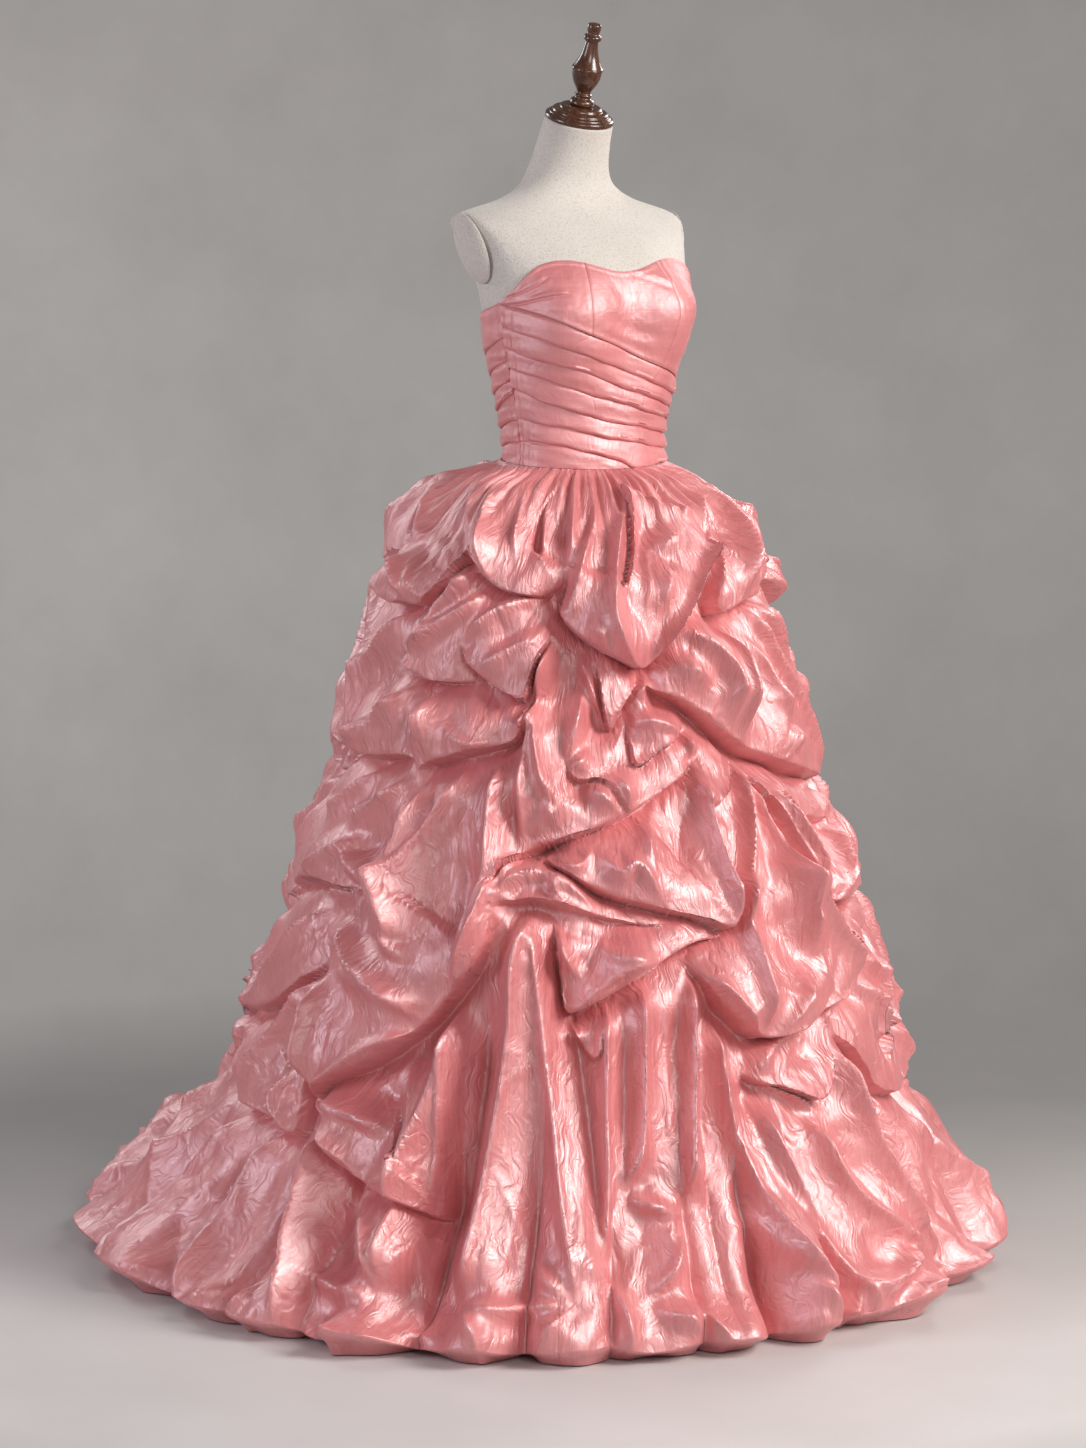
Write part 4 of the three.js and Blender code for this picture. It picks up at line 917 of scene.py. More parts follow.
POUCHES = [  # name, the lower edge from the wearer's right to the left as (angle, height), how far it stands out, how far up it swells, tapers
    ('wr1', [(-129.3, 0.98), (-108.4, 0.94), (-94.4, 0.954), (-83.9, 0.947), (-79.3, 0.982), (-74.6, 1.004)], 0.034, 0.09, (0.02, 0.25)),
    ('wr2', [(-80.1, 0.98), (-74.8, 1.046), (-67.1, 1.019), (-59.4, 0.984), (-47.7, 0.973), (-40.4, 0.994), (-37.5, 1.012)], 0.036, 0.1, (0.3, 0.1)),
    ('B', [(-37.5, 1.014), (-39.3, 0.975), (-40.5, 0.949), (-28.5, 0.905), (-19.2, 0.882), (-15.4, 0.877), (-11.9, 0.886), (-5.1, 0.933), (5.8, 0.993), (22.2, 1.042)], 0.05, 0.15, (0.1, 0.1)),
    ('C', [(6.7, 0.995), (12.0, 0.991), (14.6, 0.939), (26.1, 0.956), (34.0, 0.959), (45.6, 0.981), (64.4, 1.007)], 0.04, 0.11, (0.1, 0.02)),
    ('L2a', [(-120.8, 0.747), (-111.6, 0.741), (-97.2, 0.741), (-85.2, 0.754), (-80.0, 0.747)], 0.032, 0.11, (0.02, 0.2)),
    ('L2b', [(-88.9, 0.892), (-81.6, 0.851), (-68.9, 0.854), (-60.8, 0.857)], 0.03, 0.08, (0.1, 0.25)),
    ('E', [(-68.6, 0.899), (-63.7, 0.871), (-55.0, 0.845), (-48.3, 0.835), (-46.5, 0.879), (-41.6, 0.928)], 0.036, 0.09, (0.12, 0.15)),
    ('V', [(-29.5, 0.906), (-27.5, 0.83), (-25.5, 0.791), (-21.2, 0.83), (-14.1, 0.871)], 0.028, 0.1, (0.2, 0.2)),
    ('H', [(-78.0, 0.732), (-74.7, 0.75), (-65.9, 0.761), (-56.5, 0.774), (-48.3, 0.787), (-47.5, 0.83), (-44.5, 0.879)], 0.036, 0.09, (0.15, 0.2)),
    ('G', [(-16.7, 0.854), (-7.6, 0.842), (-0.9, 0.824), (9.8, 0.781), (14.9, 0.766), (29.5, 0.736), (60.6, 0.694)], 0.046, 0.15, (0.1, 0.02)),
    ('g2', [(-20.9, 0.83), (-20.0, 0.801), (-19.8, 0.743), (-12.5, 0.766), (-2.7, 0.791), (-0.7, 0.824)], 0.022, 0.05, (0.2, 0.2)),
    ('F', [(-51.9, 0.594), (-49.8, 0.627), (-46.1, 0.65), (-34.3, 0.668), (-21.3, 0.694), (-10.4, 0.724), (-1.8, 0.749)], 0.042, 0.11, (0.15, 0.1)),
    ('f2', [(-37.5, 0.745), (-34.4, 0.729), (-27.2, 0.735), (-21.3, 0.694)], 0.016, 0.04, (0.2, 0.3)),
    ('k', [(-0.4, 0.684), (5.4, 0.711), (10.3, 0.728), (13.8, 0.762)], 0.026, 0.06, (0.15, 0.2)),
    ('J', [(-44.5, 0.649), (-37.3, 0.624), (-29.6, 0.598), (-17.5, 0.575), (-7.4, 0.557), (0.6, 0.532), (-0.1, 0.628), (-1.4, 0.685)], 0.042, 0.1, (0.1, 0.35)),
    ('j2', [(-51.7, 0.569), (-48.2, 0.579), (-42.3, 0.588), (-29.7, 0.566), (-18.6, 0.552), (-6.9, 0.543)], 0.028, 0.05, (0.2, 0.25)),
    ('r1', [(23.0, 0.708), (29.2, 0.666), (44.2, 0.646)], 0.022, 0.06, (0.2, 0.05)),
    ('R', [(14.3, 0.74), (19.9, 0.683), (22.8, 0.618), (26.2, 0.558), (33.0, 0.545), (45.8, 0.545), (57.9, 0.55)], 0.04, 0.09, (0.2, 0.02)),
    ('R2', [(27.9, 0.544), (28.4, 0.514), (32.7, 0.471), (41.7, 0.493), (58.1, 0.509)], 0.032, 0.06, (0.15, 0.02)),
    ('l3', [(-128.3, 0.528), (-113.4, 0.568), (-97.7, 0.575), (-86.6, 0.572), (-83.2, 0.568)], 0.034, 0.11, (0.02, 0.25)),
    ('s1', [(-131.2, 0.351), (-132.1, 0.346), (-108.2, 0.394), (-90.0, 0.468)], 0.034, 0.09, (0.02, 0.3)),
    ('s2', [(-123.6, 0.291), (-112.7, 0.253), (-97.9, 0.252), (-88.1, 0.236), (-88.6, 0.291), (-88.3, 0.344)], 0.034, 0.1, (0.1, 0.2)),
    ('L', [(-87.0, 0.293), (-77.6, 0.336), (-68.3, 0.379), (-61.7, 0.422), (-57.6, 0.463), (-51.6, 0.508), (-50.5, 0.561)], 0.046, 0.17, (0.06, 0.25)),
    ('Rr', [(-87.6, 0.294), (-81.2, 0.262), (-73.6, 0.217), (-67.1, 0.201), (-60.2, 0.185), (-55.7, 0.173), (-56.5, 0.248)], 0.04, 0.1, (0.06, 0.3)),
    ('M', [(-39.0, 0.571), (-37.5, 0.486), (-36.5, 0.432), (-28.7, 0.459), (-16.8, 0.506), (-8.8, 0.53), (0.2, 0.528)], 0.036, 0.07, (0.25, 0.1)),
    ('m2', [(-35.6, 0.428), (-33.0, 0.392), (-29.7, 0.369), (-28.8, 0.44)], 0.016, 0.03, (0.2, 0.3)),
    ('N', [(-13.0, 0.508), (-8.5, 0.467), (-3.9, 0.427), (2.7, 0.387), (13.6, 0.399), (24.9, 0.422), (35.5, 0.435)], 0.044, 0.13, (0.25, 0.06)),
    ('P', [(-1.3, 0.342), (1.6, 0.331), (7.0, 0.321), (16.2, 0.286), (21.7, 0.348)], 0.03, 0.06, (0.12, 0.3)),
    ('Q', [(24.0, 0.565), (29.4, 0.502), (33.2, 0.469), (50.2, 0.502), (57.9, 0.544)], 0.024, 0.06, (0.2, 0.02)),
    ('q2', [(22.9, 0.379), (31.8, 0.326), (38.6, 0.264), (54.7, 0.272), (57.7, 0.319)], 0.026, 0.08, (0.2, 0.02)),
]
FOLDS = [  # a crease as (angle, height), its height (minus: a trough) and its half width
    ([(-94.0, 1.137), (-86.5, 1.099), (-75.2, 1.048)], 0.011, 0.009),
    ([(-75.0, 1.136), (-72.5, 1.097), (-65.6, 1.038), (-59.8, 0.987)], 0.014, 0.012),
    ([(-66.1, 1.134), (-58.1, 1.089), (-54.2, 1.008)], 0.009, 0.008),
    ([(-54.3, 1.129), (-49.0, 1.09), (-45.7, 1.008)], 0.009, 0.009),
    ([(-47.9, 1.127), (-41.8, 1.077), (-37.6, 1.022)], -0.009, 0.009),
    ([(-37.5, 1.124), (-36.9, 1.077), (-37.0, 1.014)], 0.012, 0.009),
    ([(-30.7, 1.122), (-31.3, 1.068), (-35.0, 1.022)], -0.008, 0.008),
    ([(-23.9, 1.12), (-30.9, 1.045), (-34.8, 0.985), (-40.0, 0.95)], 0.009, 0.012),
    ([(-19.8, 1.119), (-19.3, 1.098), (-20.1, 1.076)], 0.008, 0.007),
    ([(-2.3, 1.117), (-18.2, 1.067), (-22.8, 1.007), (-25.3, 0.941), (-22.2, 0.907), (-15.7, 0.878)], 0.014, 0.013),
    ([(5.7, 1.116), (-13.0, 1.043), (-16.2, 0.959)], -0.013, 0.016),
    ([(12.0, 1.115), (2.1, 1.087), (5.1, 1.068), (29.2, 1.08)], 0.008, 0.01),
    ([(28.4, 1.117), (34.1, 1.091), (24.7, 1.065), (22.4, 1.043)], 0.014, 0.012),
    ([(21.9, 1.041), (4.7, 0.988), (-5.8, 0.933), (-12.6, 0.885)], 0.015, 0.012),
    ([(46.6, 1.123), (42.8, 1.08), (36.1, 1.042), (30.6, 1.0), (23.8, 0.963)], 0.015, 0.014),
    ([(57.1, 1.126), (66.7, 1.073), (64.5, 1.04), (64.3, 1.009)], 0.014, 0.014),
    ([(-3.4, 1.018), (-7.5, 0.981), (-11.6, 0.939)], 0.008, 0.018),
    ([(21.4, 1.039), (12.4, 0.996), (14.5, 0.942)], 0.012, 0.009),
    ([(47.9, 1.003), (37.1, 0.987), (34.2, 0.96)], -0.008, 0.01),
    ([(-99.9, 1.139), (-139.9, 1.102), (-107.5, 1.061), (-106.9, 1.014)], 0.014, 0.014),
    ([(-106.2, 1.012), (-93.2, 0.987), (-84.4, 0.948)], 0.013, 0.01),
    ([(-106.5, 1.14), (-137.7, 1.092), (-132.9, 1.041), (-129.3, 0.994)], 0.012, 0.014),
    ([(-99.9, 1.126), (-89.1, 1.085), (-85.1, 1.034), (-80.0, 0.992)], -0.014, 0.015),
    ([(-129.3, 0.993), (-115.9, 0.966), (-107.2, 0.943)], 0.01, 0.012),
    ([(-74.4, 1.047), (-66.7, 1.02), (-59.6, 0.986)], 0.01, 0.01),
    ([(-54.7, 1.112), (-49.9, 1.068), (-51.6, 1.022), (-52.2, 0.984)], -0.01, 0.014),
    ([(-33.6, 0.942), (-28.4, 0.927), (-24.9, 0.9)], 0.007, 0.012),
    ([(-29.0, 1.008), (-31.5, 0.965), (-29.5, 0.927)], -0.007, 0.014),
    ([(6.0, 1.04), (-1.2, 1.037), (-6.2, 1.019)], 0.006, 0.01),
    ([(-132.6, 1.03), (-107.2, 1.011), (-105.9, 0.986)], -0.007, 0.01),
    ([(-63.6, 1.02), (-72.6, 0.97), (-88.8, 0.891)], 0.011, 0.013),
    ([(-59.3, 0.982), (-69.0, 0.942), (-83.3, 0.897), (-88.7, 0.89)], 0.009, 0.012),
    ([(-43.4, 0.975), (-56.9, 0.955), (-63.7, 0.924), (-68.6, 0.898)], 0.012, 0.013),
    ([(-41.2, 0.966), (-51.0, 0.922), (-66.5, 0.894)], -0.006, 0.014),
    ([(-39.9, 0.942), (-53.7, 0.897), (-63.7, 0.872)], 0.006, 0.014),
    ([(-41.6, 0.928), (-43.3, 0.879), (-48.0, 0.835)], 0.015, 0.012),
    ([(-48.0, 0.835), (-47.7, 0.811), (-48.3, 0.787)], 0.013, 0.009),
    ([(-88.7, 0.89), (-84.3, 0.867), (-81.4, 0.851)], 0.009, 0.009),
    ([(-81.4, 0.851), (-90.8, 0.797), (-110.0, 0.743)], 0.013, 0.015),
    ([(-90.1, 0.819), (-99.6, 0.763)], -0.009, 0.014),
    ([(-75.0, 0.852), (-76.1, 0.807), (-77.6, 0.748)], 0.013, 0.014),
    ([(-127.4, 0.84), (-128.4, 0.819), (-121.5, 0.782)], 0.009, 0.014),
    ([(-89.8, 0.949), (-104.6, 0.876), (-128.4, 0.82)], 0.012, 0.016),
    ([(-104.2, 0.932), (-114.9, 0.87)], -0.009, 0.016),
    ([(-71.5, 0.795), (-61.3, 0.775), (-52.2, 0.796)], 0.008, 0.02),
    ([(-64.9, 0.827), (-57.9, 0.833), (-53.4, 0.81)], -0.006, 0.016),
    ([(-72.6, 0.97), (-67.3, 0.991), (-70.7, 1.005)], 0.006, 0.012),
    ([(-32.6, 0.86), (-34.5, 0.802), (-37.3, 0.745)], 0.015, 0.013),
    ([(-34.6, 0.899), (-29.7, 0.835), (-25.5, 0.791)], 0.012, 0.013),
    ([(-38.8, 0.937), (-40.4, 0.86), (-41.8, 0.783)], -0.016, 0.02),
    ([(-28.6, 0.879), (-29.8, 0.802), (-34.4, 0.755)], -0.011, 0.014),
    ([(-46.1, 0.831), (-43.9, 0.764), (-41.2, 0.712), (-34.3, 0.689)], 0.015, 0.016),
    ([(-42.8, 0.918), (-45.2, 0.85), (-47.3, 0.783), (-46.8, 0.688), (-46.3, 0.651)], 0.013, 0.014),
    ([(-12.7, 0.871), (-16.4, 0.838), (-20.8, 0.82)], 0.009, 0.01),
    ([(-20.9, 0.81), (-12.7, 0.803), (-3.2, 0.791)], 0.01, 0.008),
    ([(-3.2, 0.79), (-2.4, 0.75)], 0.01, 0.008),
    ([(-13.0, 0.794), (-17.5, 0.767), (-19.7, 0.744)], -0.007, 0.012),
    ([(-5.9, 0.931), (6.0, 0.891), (10.8, 0.849), (10.0, 0.786)], 0.013, 0.015),
    ([(3.0, 0.95), (12.6, 0.918), (12.3, 0.869)], -0.009, 0.014),
    ([(14.6, 0.939), (14.0, 0.868), (13.9, 0.809), (14.8, 0.768)], 0.014, 0.012),
    ([(19.6, 0.94), (19.8, 0.865), (23.7, 0.794), (25.3, 0.748)], -0.01, 0.014),
    ([(27.9, 0.955), (37.5, 0.856), (49.3, 0.757), (60.6, 0.695)], 0.011, 0.01),
    ([(31.5, 0.957), (49.3, 0.865), (60.0, 0.769), (59.9, 0.738)], 0.01, 0.009),
    ([(35.2, 0.958), (48.6, 0.891), (59.6, 0.832), (60.1, 0.79)], 0.01, 0.009),
    ([(25.5, 0.913), (29.4, 0.841), (33.7, 0.768)], 0.009, 0.012),
    ([(38.4, 0.765), (31.8, 0.759), (33.8, 0.738)], 0.008, 0.014),
    ([(-8.9, 0.895), (-3.5, 0.869), (6.0, 0.846)], 0.008, 0.014),
    ([(59.7, 0.853), (60.3, 0.821), (60.3, 0.779)], 0.008, 0.01),
    ([(-1.9, 0.747), (-1.4, 0.685), (-1.0, 0.628), (0.6, 0.538)], 0.014, 0.013),
    ([(-4.6, 0.729), (-6.9, 0.673), (-11.2, 0.614), (-14.7, 0.575)], -0.012, 0.022),
    ([(-14.0, 0.69), (-18.3, 0.658), (-17.7, 0.603)], 0.008, 0.018),
    ([(-39.8, 0.647), (-34.2, 0.623), (-30.2, 0.649)], 0.008, 0.01),
    ([(-30.2, 0.649), (-24.9, 0.609), (-21.4, 0.627), (-15.1, 0.574)], 0.008, 0.01),
    ([(-33.5, 0.736), (-29.1, 0.712), (-22.2, 0.694)], 0.008, 0.012),
    ([(-25.3, 0.744), (-21.9, 0.715), (-21.3, 0.694)], 0.007, 0.009),
    ([(-42.9, 0.702), (-39.3, 0.684), (-37.8, 0.703)], 0.007, 0.009),
    ([(-37.1, 0.741), (-32.6, 0.707), (-34.3, 0.689)], -0.008, 0.009),
    ([(-30.8, 0.769), (-34.4, 0.75), (-37.3, 0.744)], 0.008, 0.009),
    ([(-28.9, 0.773), (-23.4, 0.749), (-23.7, 0.72)], -0.006, 0.012),
    ([(13.9, 0.76), (11.1, 0.684), (5.8, 0.606), (0.8, 0.533)], 0.013, 0.013),
    ([(15.3, 0.735), (17.9, 0.645), (18.1, 0.559), (19.0, 0.474)], 0.015, 0.018),
    ([(13.6, 0.74), (16.1, 0.671), (15.4, 0.599)], -0.01, 0.015),
    ([(19.8, 0.717), (24.4, 0.626), (27.2, 0.555)], 0.012, 0.012),
    ([(60.6, 0.685), (46.0, 0.652), (42.5, 0.645)], 0.008, 0.009),
    ([(60.6, 0.693), (44.1, 0.697), (37.5, 0.7)], 0.009, 0.009),
    ([(60.7, 0.69), (45.0, 0.622), (32.2, 0.547)], 0.01, 0.012),
    ([(60.7, 0.669), (60.0, 0.601), (58.0, 0.55)], 0.012, 0.013),
    ([(60.1, 0.607), (43.0, 0.589), (44.6, 0.556)], -0.007, 0.01),
    ([(-0.4, 0.685), (5.2, 0.706), (10.6, 0.726)], 0.01, 0.008),
    ([(-53.1, 0.767), (-53.3, 0.687), (-52.4, 0.608), (-57.3, 0.498)], 0.017, 0.016),
    ([(-62.6, 0.75), (-67.9, 0.676), (-74.0, 0.601), (-81.4, 0.567)], 0.013, 0.022),
    ([(-60.2, 0.732), (-62.5, 0.66), (-57.8, 0.592), (-62.6, 0.495)], -0.013, 0.026),
    ([(-74.3, 0.726), (-74.9, 0.639), (-77.6, 0.575), (-68.7, 0.515)], 0.013, 0.018),
    ([(-77.8, 0.729), (-87.3, 0.673), (-98.7, 0.654)], 0.012, 0.014),
    ([(-89.4, 0.736), (-102.0, 0.676), (-113.4, 0.65)], 0.011, 0.014),
    ([(-78.4, 0.694), (-86.2, 0.63), (-100.1, 0.593)], -0.009, 0.018),
    ([(-87.0, 0.639), (-97.8, 0.605), (-109.8, 0.567)], 0.01, 0.014),
    ([(-83.7, 0.567), (-91.3, 0.562), (-98.8, 0.569)], 0.01, 0.01),
    ([(-94.6, 0.623), (-85.7, 0.592), (-83.2, 0.568)], 0.009, 0.01),
    ([(-51.6, 0.596), (-47.6, 0.632), (-46.1, 0.649)], 0.01, 0.01),
    ([(-51.0, 0.571), (-47.3, 0.614), (-40.4, 0.619), (-33.4, 0.596), (-29.7, 0.569)], 0.013, 0.012),
    ([(-40.4, 0.619), (-37.9, 0.596), (-40.1, 0.589)], 0.008, 0.01),
    ([(-46.7, 0.735), (-48.6, 0.688), (-49.0, 0.627)], -0.014, 0.014),
    ([(-78.8, 0.615), (-70.1, 0.535), (-72.3, 0.51), (-64.8, 0.484)], 0.012, 0.016),
    ([(-89.3, 0.538), (-82.8, 0.484), (-62.4, 0.427)], 0.011, 0.014),
    ([(-87.9, 0.47), (-67.6, 0.435), (-60.4, 0.452)], 0.008, 0.016),
    ([(-89.6, 0.46), (-78.7, 0.425), (-77.8, 0.346)], -0.009, 0.018),
    ([(-62.2, 0.416), (-71.7, 0.384), (-86.2, 0.301)], 0.012, 0.012),
    ([(-89.6, 0.46), (-87.3, 0.374), (-87.0, 0.295)], 0.012, 0.012),
    ([(-81.6, 0.573), (-93.7, 0.561), (-94.6, 0.581)], 0.009, 0.01),
    ([(-51.1, 0.622), (-52.4, 0.56), (-58.2, 0.465)], 0.015, 0.014),
    ([(-58.8, 0.588), (-57.8, 0.52), (-58.3, 0.469)], -0.008, 0.016),
    ([(-84.4, 0.297), (-72.1, 0.28), (-64.3, 0.265)], 0.011, 0.012),
    ([(-66.3, 0.373), (-61.6, 0.306), (-62.2, 0.229), (-66.5, 0.202)], 0.012, 0.014),
    ([(-81.6, 0.269), (-72.9, 0.233), (-68.3, 0.204)], 0.009, 0.01),
    ([(-77.2, 0.323), (-67.5, 0.301), (-61.5, 0.377), (-56.0, 0.435)], -0.008, 0.014),
    ([(-58.0, 0.449), (-56.8, 0.325), (-58.0, 0.179)], 0.011, 0.014),
    ([(-59.8, 0.216), (-66.2, 0.21), (-70.0, 0.221)], 0.007, 0.01),
    ([(-94.8, 0.544), (-108.2, 0.445), (-131.5, 0.346)], 0.011, 0.012),
    ([(-101.6, 0.52), (-124.1, 0.456), (-131.1, 0.356)], -0.008, 0.014),
    ([(-128.7, 0.519), (-129.3, 0.465), (-130.9, 0.361)], 0.01, 0.014),
    ([(-91.2, 0.45), (-98.7, 0.375), (-113.1, 0.259)], 0.014, 0.016),
    ([(-102.4, 0.386), (-115.5, 0.298)], -0.009, 0.014),
    ([(-97.9, 0.277), (-96.9, 0.254)], 0.007, 0.008),
    ([(-89.3, 0.331), (-94.8, 0.282), (-88.5, 0.237)], 0.01, 0.01),
    ([(-131.7, 0.356), (-120.9, 0.296), (-114.0, 0.256)], 0.009, 0.012),
    ([(-38.6, 0.567), (-35.5, 0.494), (-31.0, 0.494)], 0.009, 0.01),
    ([(-36.5, 0.432), (-26.4, 0.493), (-15.5, 0.509)], 0.008, 0.012),
    ([(-29.7, 0.548), (-28.6, 0.509), (-21.6, 0.508), (-16.8, 0.508)], 0.007, 0.01),
    ([(-50.2, 0.576), (-41.8, 0.585), (-30.9, 0.569), (-28.5, 0.567)], 0.009, 0.009),
    ([(-35.9, 0.425), (-32.7, 0.394)], 0.009, 0.008),
    ([(3.6, 0.611), (2.0, 0.511), (2.7, 0.39)], 0.013, 0.014),
    ([(-11.9, 0.5), (-4.6, 0.461), (2.7, 0.388)], 0.01, 0.012),
    ([(14.0, 0.62), (23.4, 0.525), (34.7, 0.436)], 0.016, 0.018),
    ([(12.5, 0.574), (14.8, 0.461), (12.7, 0.399)], -0.011, 0.02),
    ([(17.2, 0.474), (11.4, 0.432), (3.5, 0.392)], 0.009, 0.014),
    ([(28.4, 0.56), (32.9, 0.474)], 0.009, 0.01),
    ([(30.4, 0.435), (22.0, 0.405), (24.4, 0.369)], 0.01, 0.01),
    ([(-0.9, 0.34), (6.1, 0.381), (17.8, 0.393)], 0.011, 0.012),
    ([(3.7, 0.334), (11.4, 0.352), (21.7, 0.348)], -0.006, 0.012),
    ([(-0.2, 0.338), (7.5, 0.312), (17.4, 0.272)], 0.009, 0.009),
    ([(33.0, 0.432), (50.4, 0.349), (59.8, 0.272)], 0.012, 0.014),
    ([(39.0, 0.466), (58.1, 0.379), (57.8, 0.293)], 0.01, 0.012),
    ([(44.8, 0.289), (60.0, 0.241)], 0.008, 0.008),
    ([(-41.7, 0.574), (-45.7, 0.524), (-45.9, 0.408), (-48.6, 0.207), (-50.2, 0.07)], 0.02, 0.022),
    ([(-51.4, 0.491), (-52.0, 0.328), (-53.5, 0.145), (-50.1, 0.0)], -0.022, 0.024),
    ([(-42.6, 0.548), (-39.6, 0.386), (-36.0, 0.18), (-33.8, 0.076)], 0.012, 0.018),
    ([(-40.4, 0.563), (-34.3, 0.409), (-30.7, 0.24), (-30.4, 0.105)], -0.02, 0.022),
    ([(-28.2, 0.455), (-29.0, 0.331), (-28.7, 0.224), (-29.5, 0.119)], 0.017, 0.016),
    ([(-21.5, 0.484), (-21.9, 0.36), (-22.8, 0.253), (-26.8, 0.205)], 0.014, 0.016),
    ([(-25.3, 0.462), (-25.3, 0.315), (-26.2, 0.223)], -0.01, 0.012),
    ([(-11.4, 0.488), (-12.5, 0.364), (-14.4, 0.248), (-15.9, 0.181)], 0.018, 0.015),
    ([(-9.6, 0.479), (-10.6, 0.324), (-11.3, 0.14), (-11.4, 0.007)], -0.022, 0.02),
    ([(-7.1, 0.431), (-6.1, 0.281), (-1.8, 0.146), (4.9, 0.032)], 0.016, 0.02),
    ([(-6.2, 0.446), (-1.0, 0.285), (1.6, 0.189), (4.8, 0.123)], -0.012, 0.016),
    ([(-0.6, 0.316), (3.2, 0.203), (9.8, 0.055), (13.2, 0.0)], 0.014, 0.02),
    ([(11.4, 0.288), (13.2, 0.175), (27.7, 0.08), (27.6, 0.041)], 0.013, 0.018),
    ([(17.0, 0.265), (22.1, 0.162), (26.5, 0.0)], -0.014, 0.02),
    ([(22.2, 0.364), (24.1, 0.231), (30.5, 0.115), (37.0, 0.021)], 0.015, 0.018),
    ([(32.8, 0.259), (38.9, 0.149), (47.3, 0.014)], -0.013, 0.016),
    ([(44.0, 0.24), (52.1, 0.139), (65.5, 0.0)], 0.015, 0.018),
    ([(29.1, 0.322), (31.9, 0.219), (38.1, 0.117)], -0.009, 0.014),
    ([(-56.6, 0.434), (-59.0, 0.324), (-62.6, 0.198), (-61.2, 0.073)], 0.015, 0.016),
    ([(-56.1, 0.31), (-57.9, 0.172), (-58.8, 0.054), (-62.0, 0.002)], -0.016, 0.02),
    ([(-57.9, 0.172), (-61.1, 0.07)], 0.009, 0.012),
    ([(-81.9, 0.276), (-79.2, 0.179), (-75.1, 0.085), (-73.3, 0.0)], 0.017, 0.018),
    ([(-76.0, 0.214), (-70.5, 0.129), (-66.6, 0.089), (-68.9, 0.015)], -0.013, 0.018),
    ([(-71.4, 0.189), (-65.0, 0.128), (-61.0, 0.071)], 0.013, 0.014),
    ([(-84.4, 0.233), (-84.5, 0.108), (-84.4, 0.003)], -0.014, 0.016),
    ([(-95.5, 0.24), (-97.2, 0.148), (-92.8, 0.015), (-94.1, 0.0)], 0.014, 0.015),
    ([(-99.2, 0.242), (-103.7, 0.11), (-103.1, 0.007)], -0.012, 0.014),
    ([(-107.4, 0.244), (-112.2, 0.117), (-109.7, 0.0)], 0.013, 0.014),
    ([(-110.9, 0.246), (-117.9, 0.104), (-122.0, 0.0)], -0.01, 0.013),
    ([(-115.7, 0.263), (-126.8, 0.117), (-131.6, 0.0)], 0.012, 0.014),
    ([(-127.0, 0.285), (-147.9, 0.052), (-134.2, 0.0)], -0.009, 0.013),
    ([(-127.3, 0.267), (-139.1, 0.052), (-133.5, 0.0)], 0.012, 0.016),
    ([(-50.4, 0.07), (-43.4, 0.062), (-34.0, 0.075)], 0.012, 0.014),
    ([(-38.7, 0.15), (-39.4, 0.106), (-34.0, 0.075)], 0.009, 0.012),
    ([(-50.0, 0.07), (-46.3, 0.033), (-45.4, 0.0)], 0.013, 0.014),
    ([(-39.5, 0.004), (-36.5, 0.048), (-33.8, 0.073)], 0.011, 0.012),
    ([(-26.8, 0.208), (-24.4, 0.193), (-16.0, 0.173)], 0.01, 0.012),
    ([(-24.2, 0.073), (-19.2, 0.108), (-16.1, 0.166)], 0.011, 0.012),
    ([(-24.0, 0.072), (-17.2, 0.04), (-16.2, 0.0)], 0.011, 0.014),
    ([(-29.5, 0.112), (-27.0, 0.06), (-26.1, 0.0)], 0.013, 0.014),
    ([(-5.4, 0.196), (-3.4, 0.125), (3.4, 0.079)], 0.009, 0.014),
    ([(-0.8, 0.091), (2.5, 0.028), (3.9, 0.0)], 0.011, 0.014),
    ([(9.3, 0.071), (13.6, 0.034), (27.7, 0.08)], 0.012, 0.012),
    ([(13.4, 0.012), (22.2, 0.02), (29.8, 0.044)], 0.009, 0.011),
    ([(29.7, 0.021), (40.5, 0.013), (57.3, 0.0)], 0.009, 0.012),
    ([(-92.8, 0.015), (-87.6, 0.019), (-83.8, 0.063)], 0.009, 0.012),
    ([(-75.1, 0.085), (-68.0, 0.073), (-61.1, 0.07)], 0.012, 0.013),
    ([(-78.2, 0.029), (-74.2, 0.05), (-65.8, 0.047), (-61.1, 0.067)], -0.008, 0.012),
    ([(-68.9, 0.015), (-65.6, 0.023), (-61.9, 0.0)], 0.012, 0.011),
    ([(-64.6, 0.02), (-53.9, 0.009)], 0.009, 0.012),
    ([(-58.3, 0.04), (-54.5, 0.029), (-51.4, 0.038)], 0.008, 0.012),
    ([(-131.6, 0.0), (-116.4, 0.0), (-108.7, 0.0)], 0.008, 0.01),
    ([(-105.7, 0.0), (-102.4, 0.025), (-97.9, 0.042)], 0.008, 0.01),
    ([(-82.8, 0.0), (-79.7, 0.02), (-78.0, 0.073)], 0.01, 0.01),
    ([(-11.7, 0.001), (-15.3, 0.046), (-20.5, 0.071)], 0.009, 0.012),
    ([(12.6, 0.0), (7.9, 0.0), (9.8, 0.055)], 0.011, 0.012),
    ([(26.6, 0.0), (24.8, 0.015), (17.0, 0.044)], 0.009, 0.01),
]


FOLD_HEIGHT, FOLD_WIDTH = 2.6, 1.12
HEM_ROWS = 12


def column_angles(N):
    """The columns' angles in degrees: closer together on the half with the finest folds."""
    a = np.linspace(-180, 180, 3601)
    dens = .62 + .73 * step01((a + 136) / 16) * step01((70 - a) / 16)
    cum = np.concatenate([[0], np.cumsum((dens[1:] + dens[:-1]) / 2)]); cum /= cum[-1]
    return np.interp(np.arange(N) / N, cum, a)


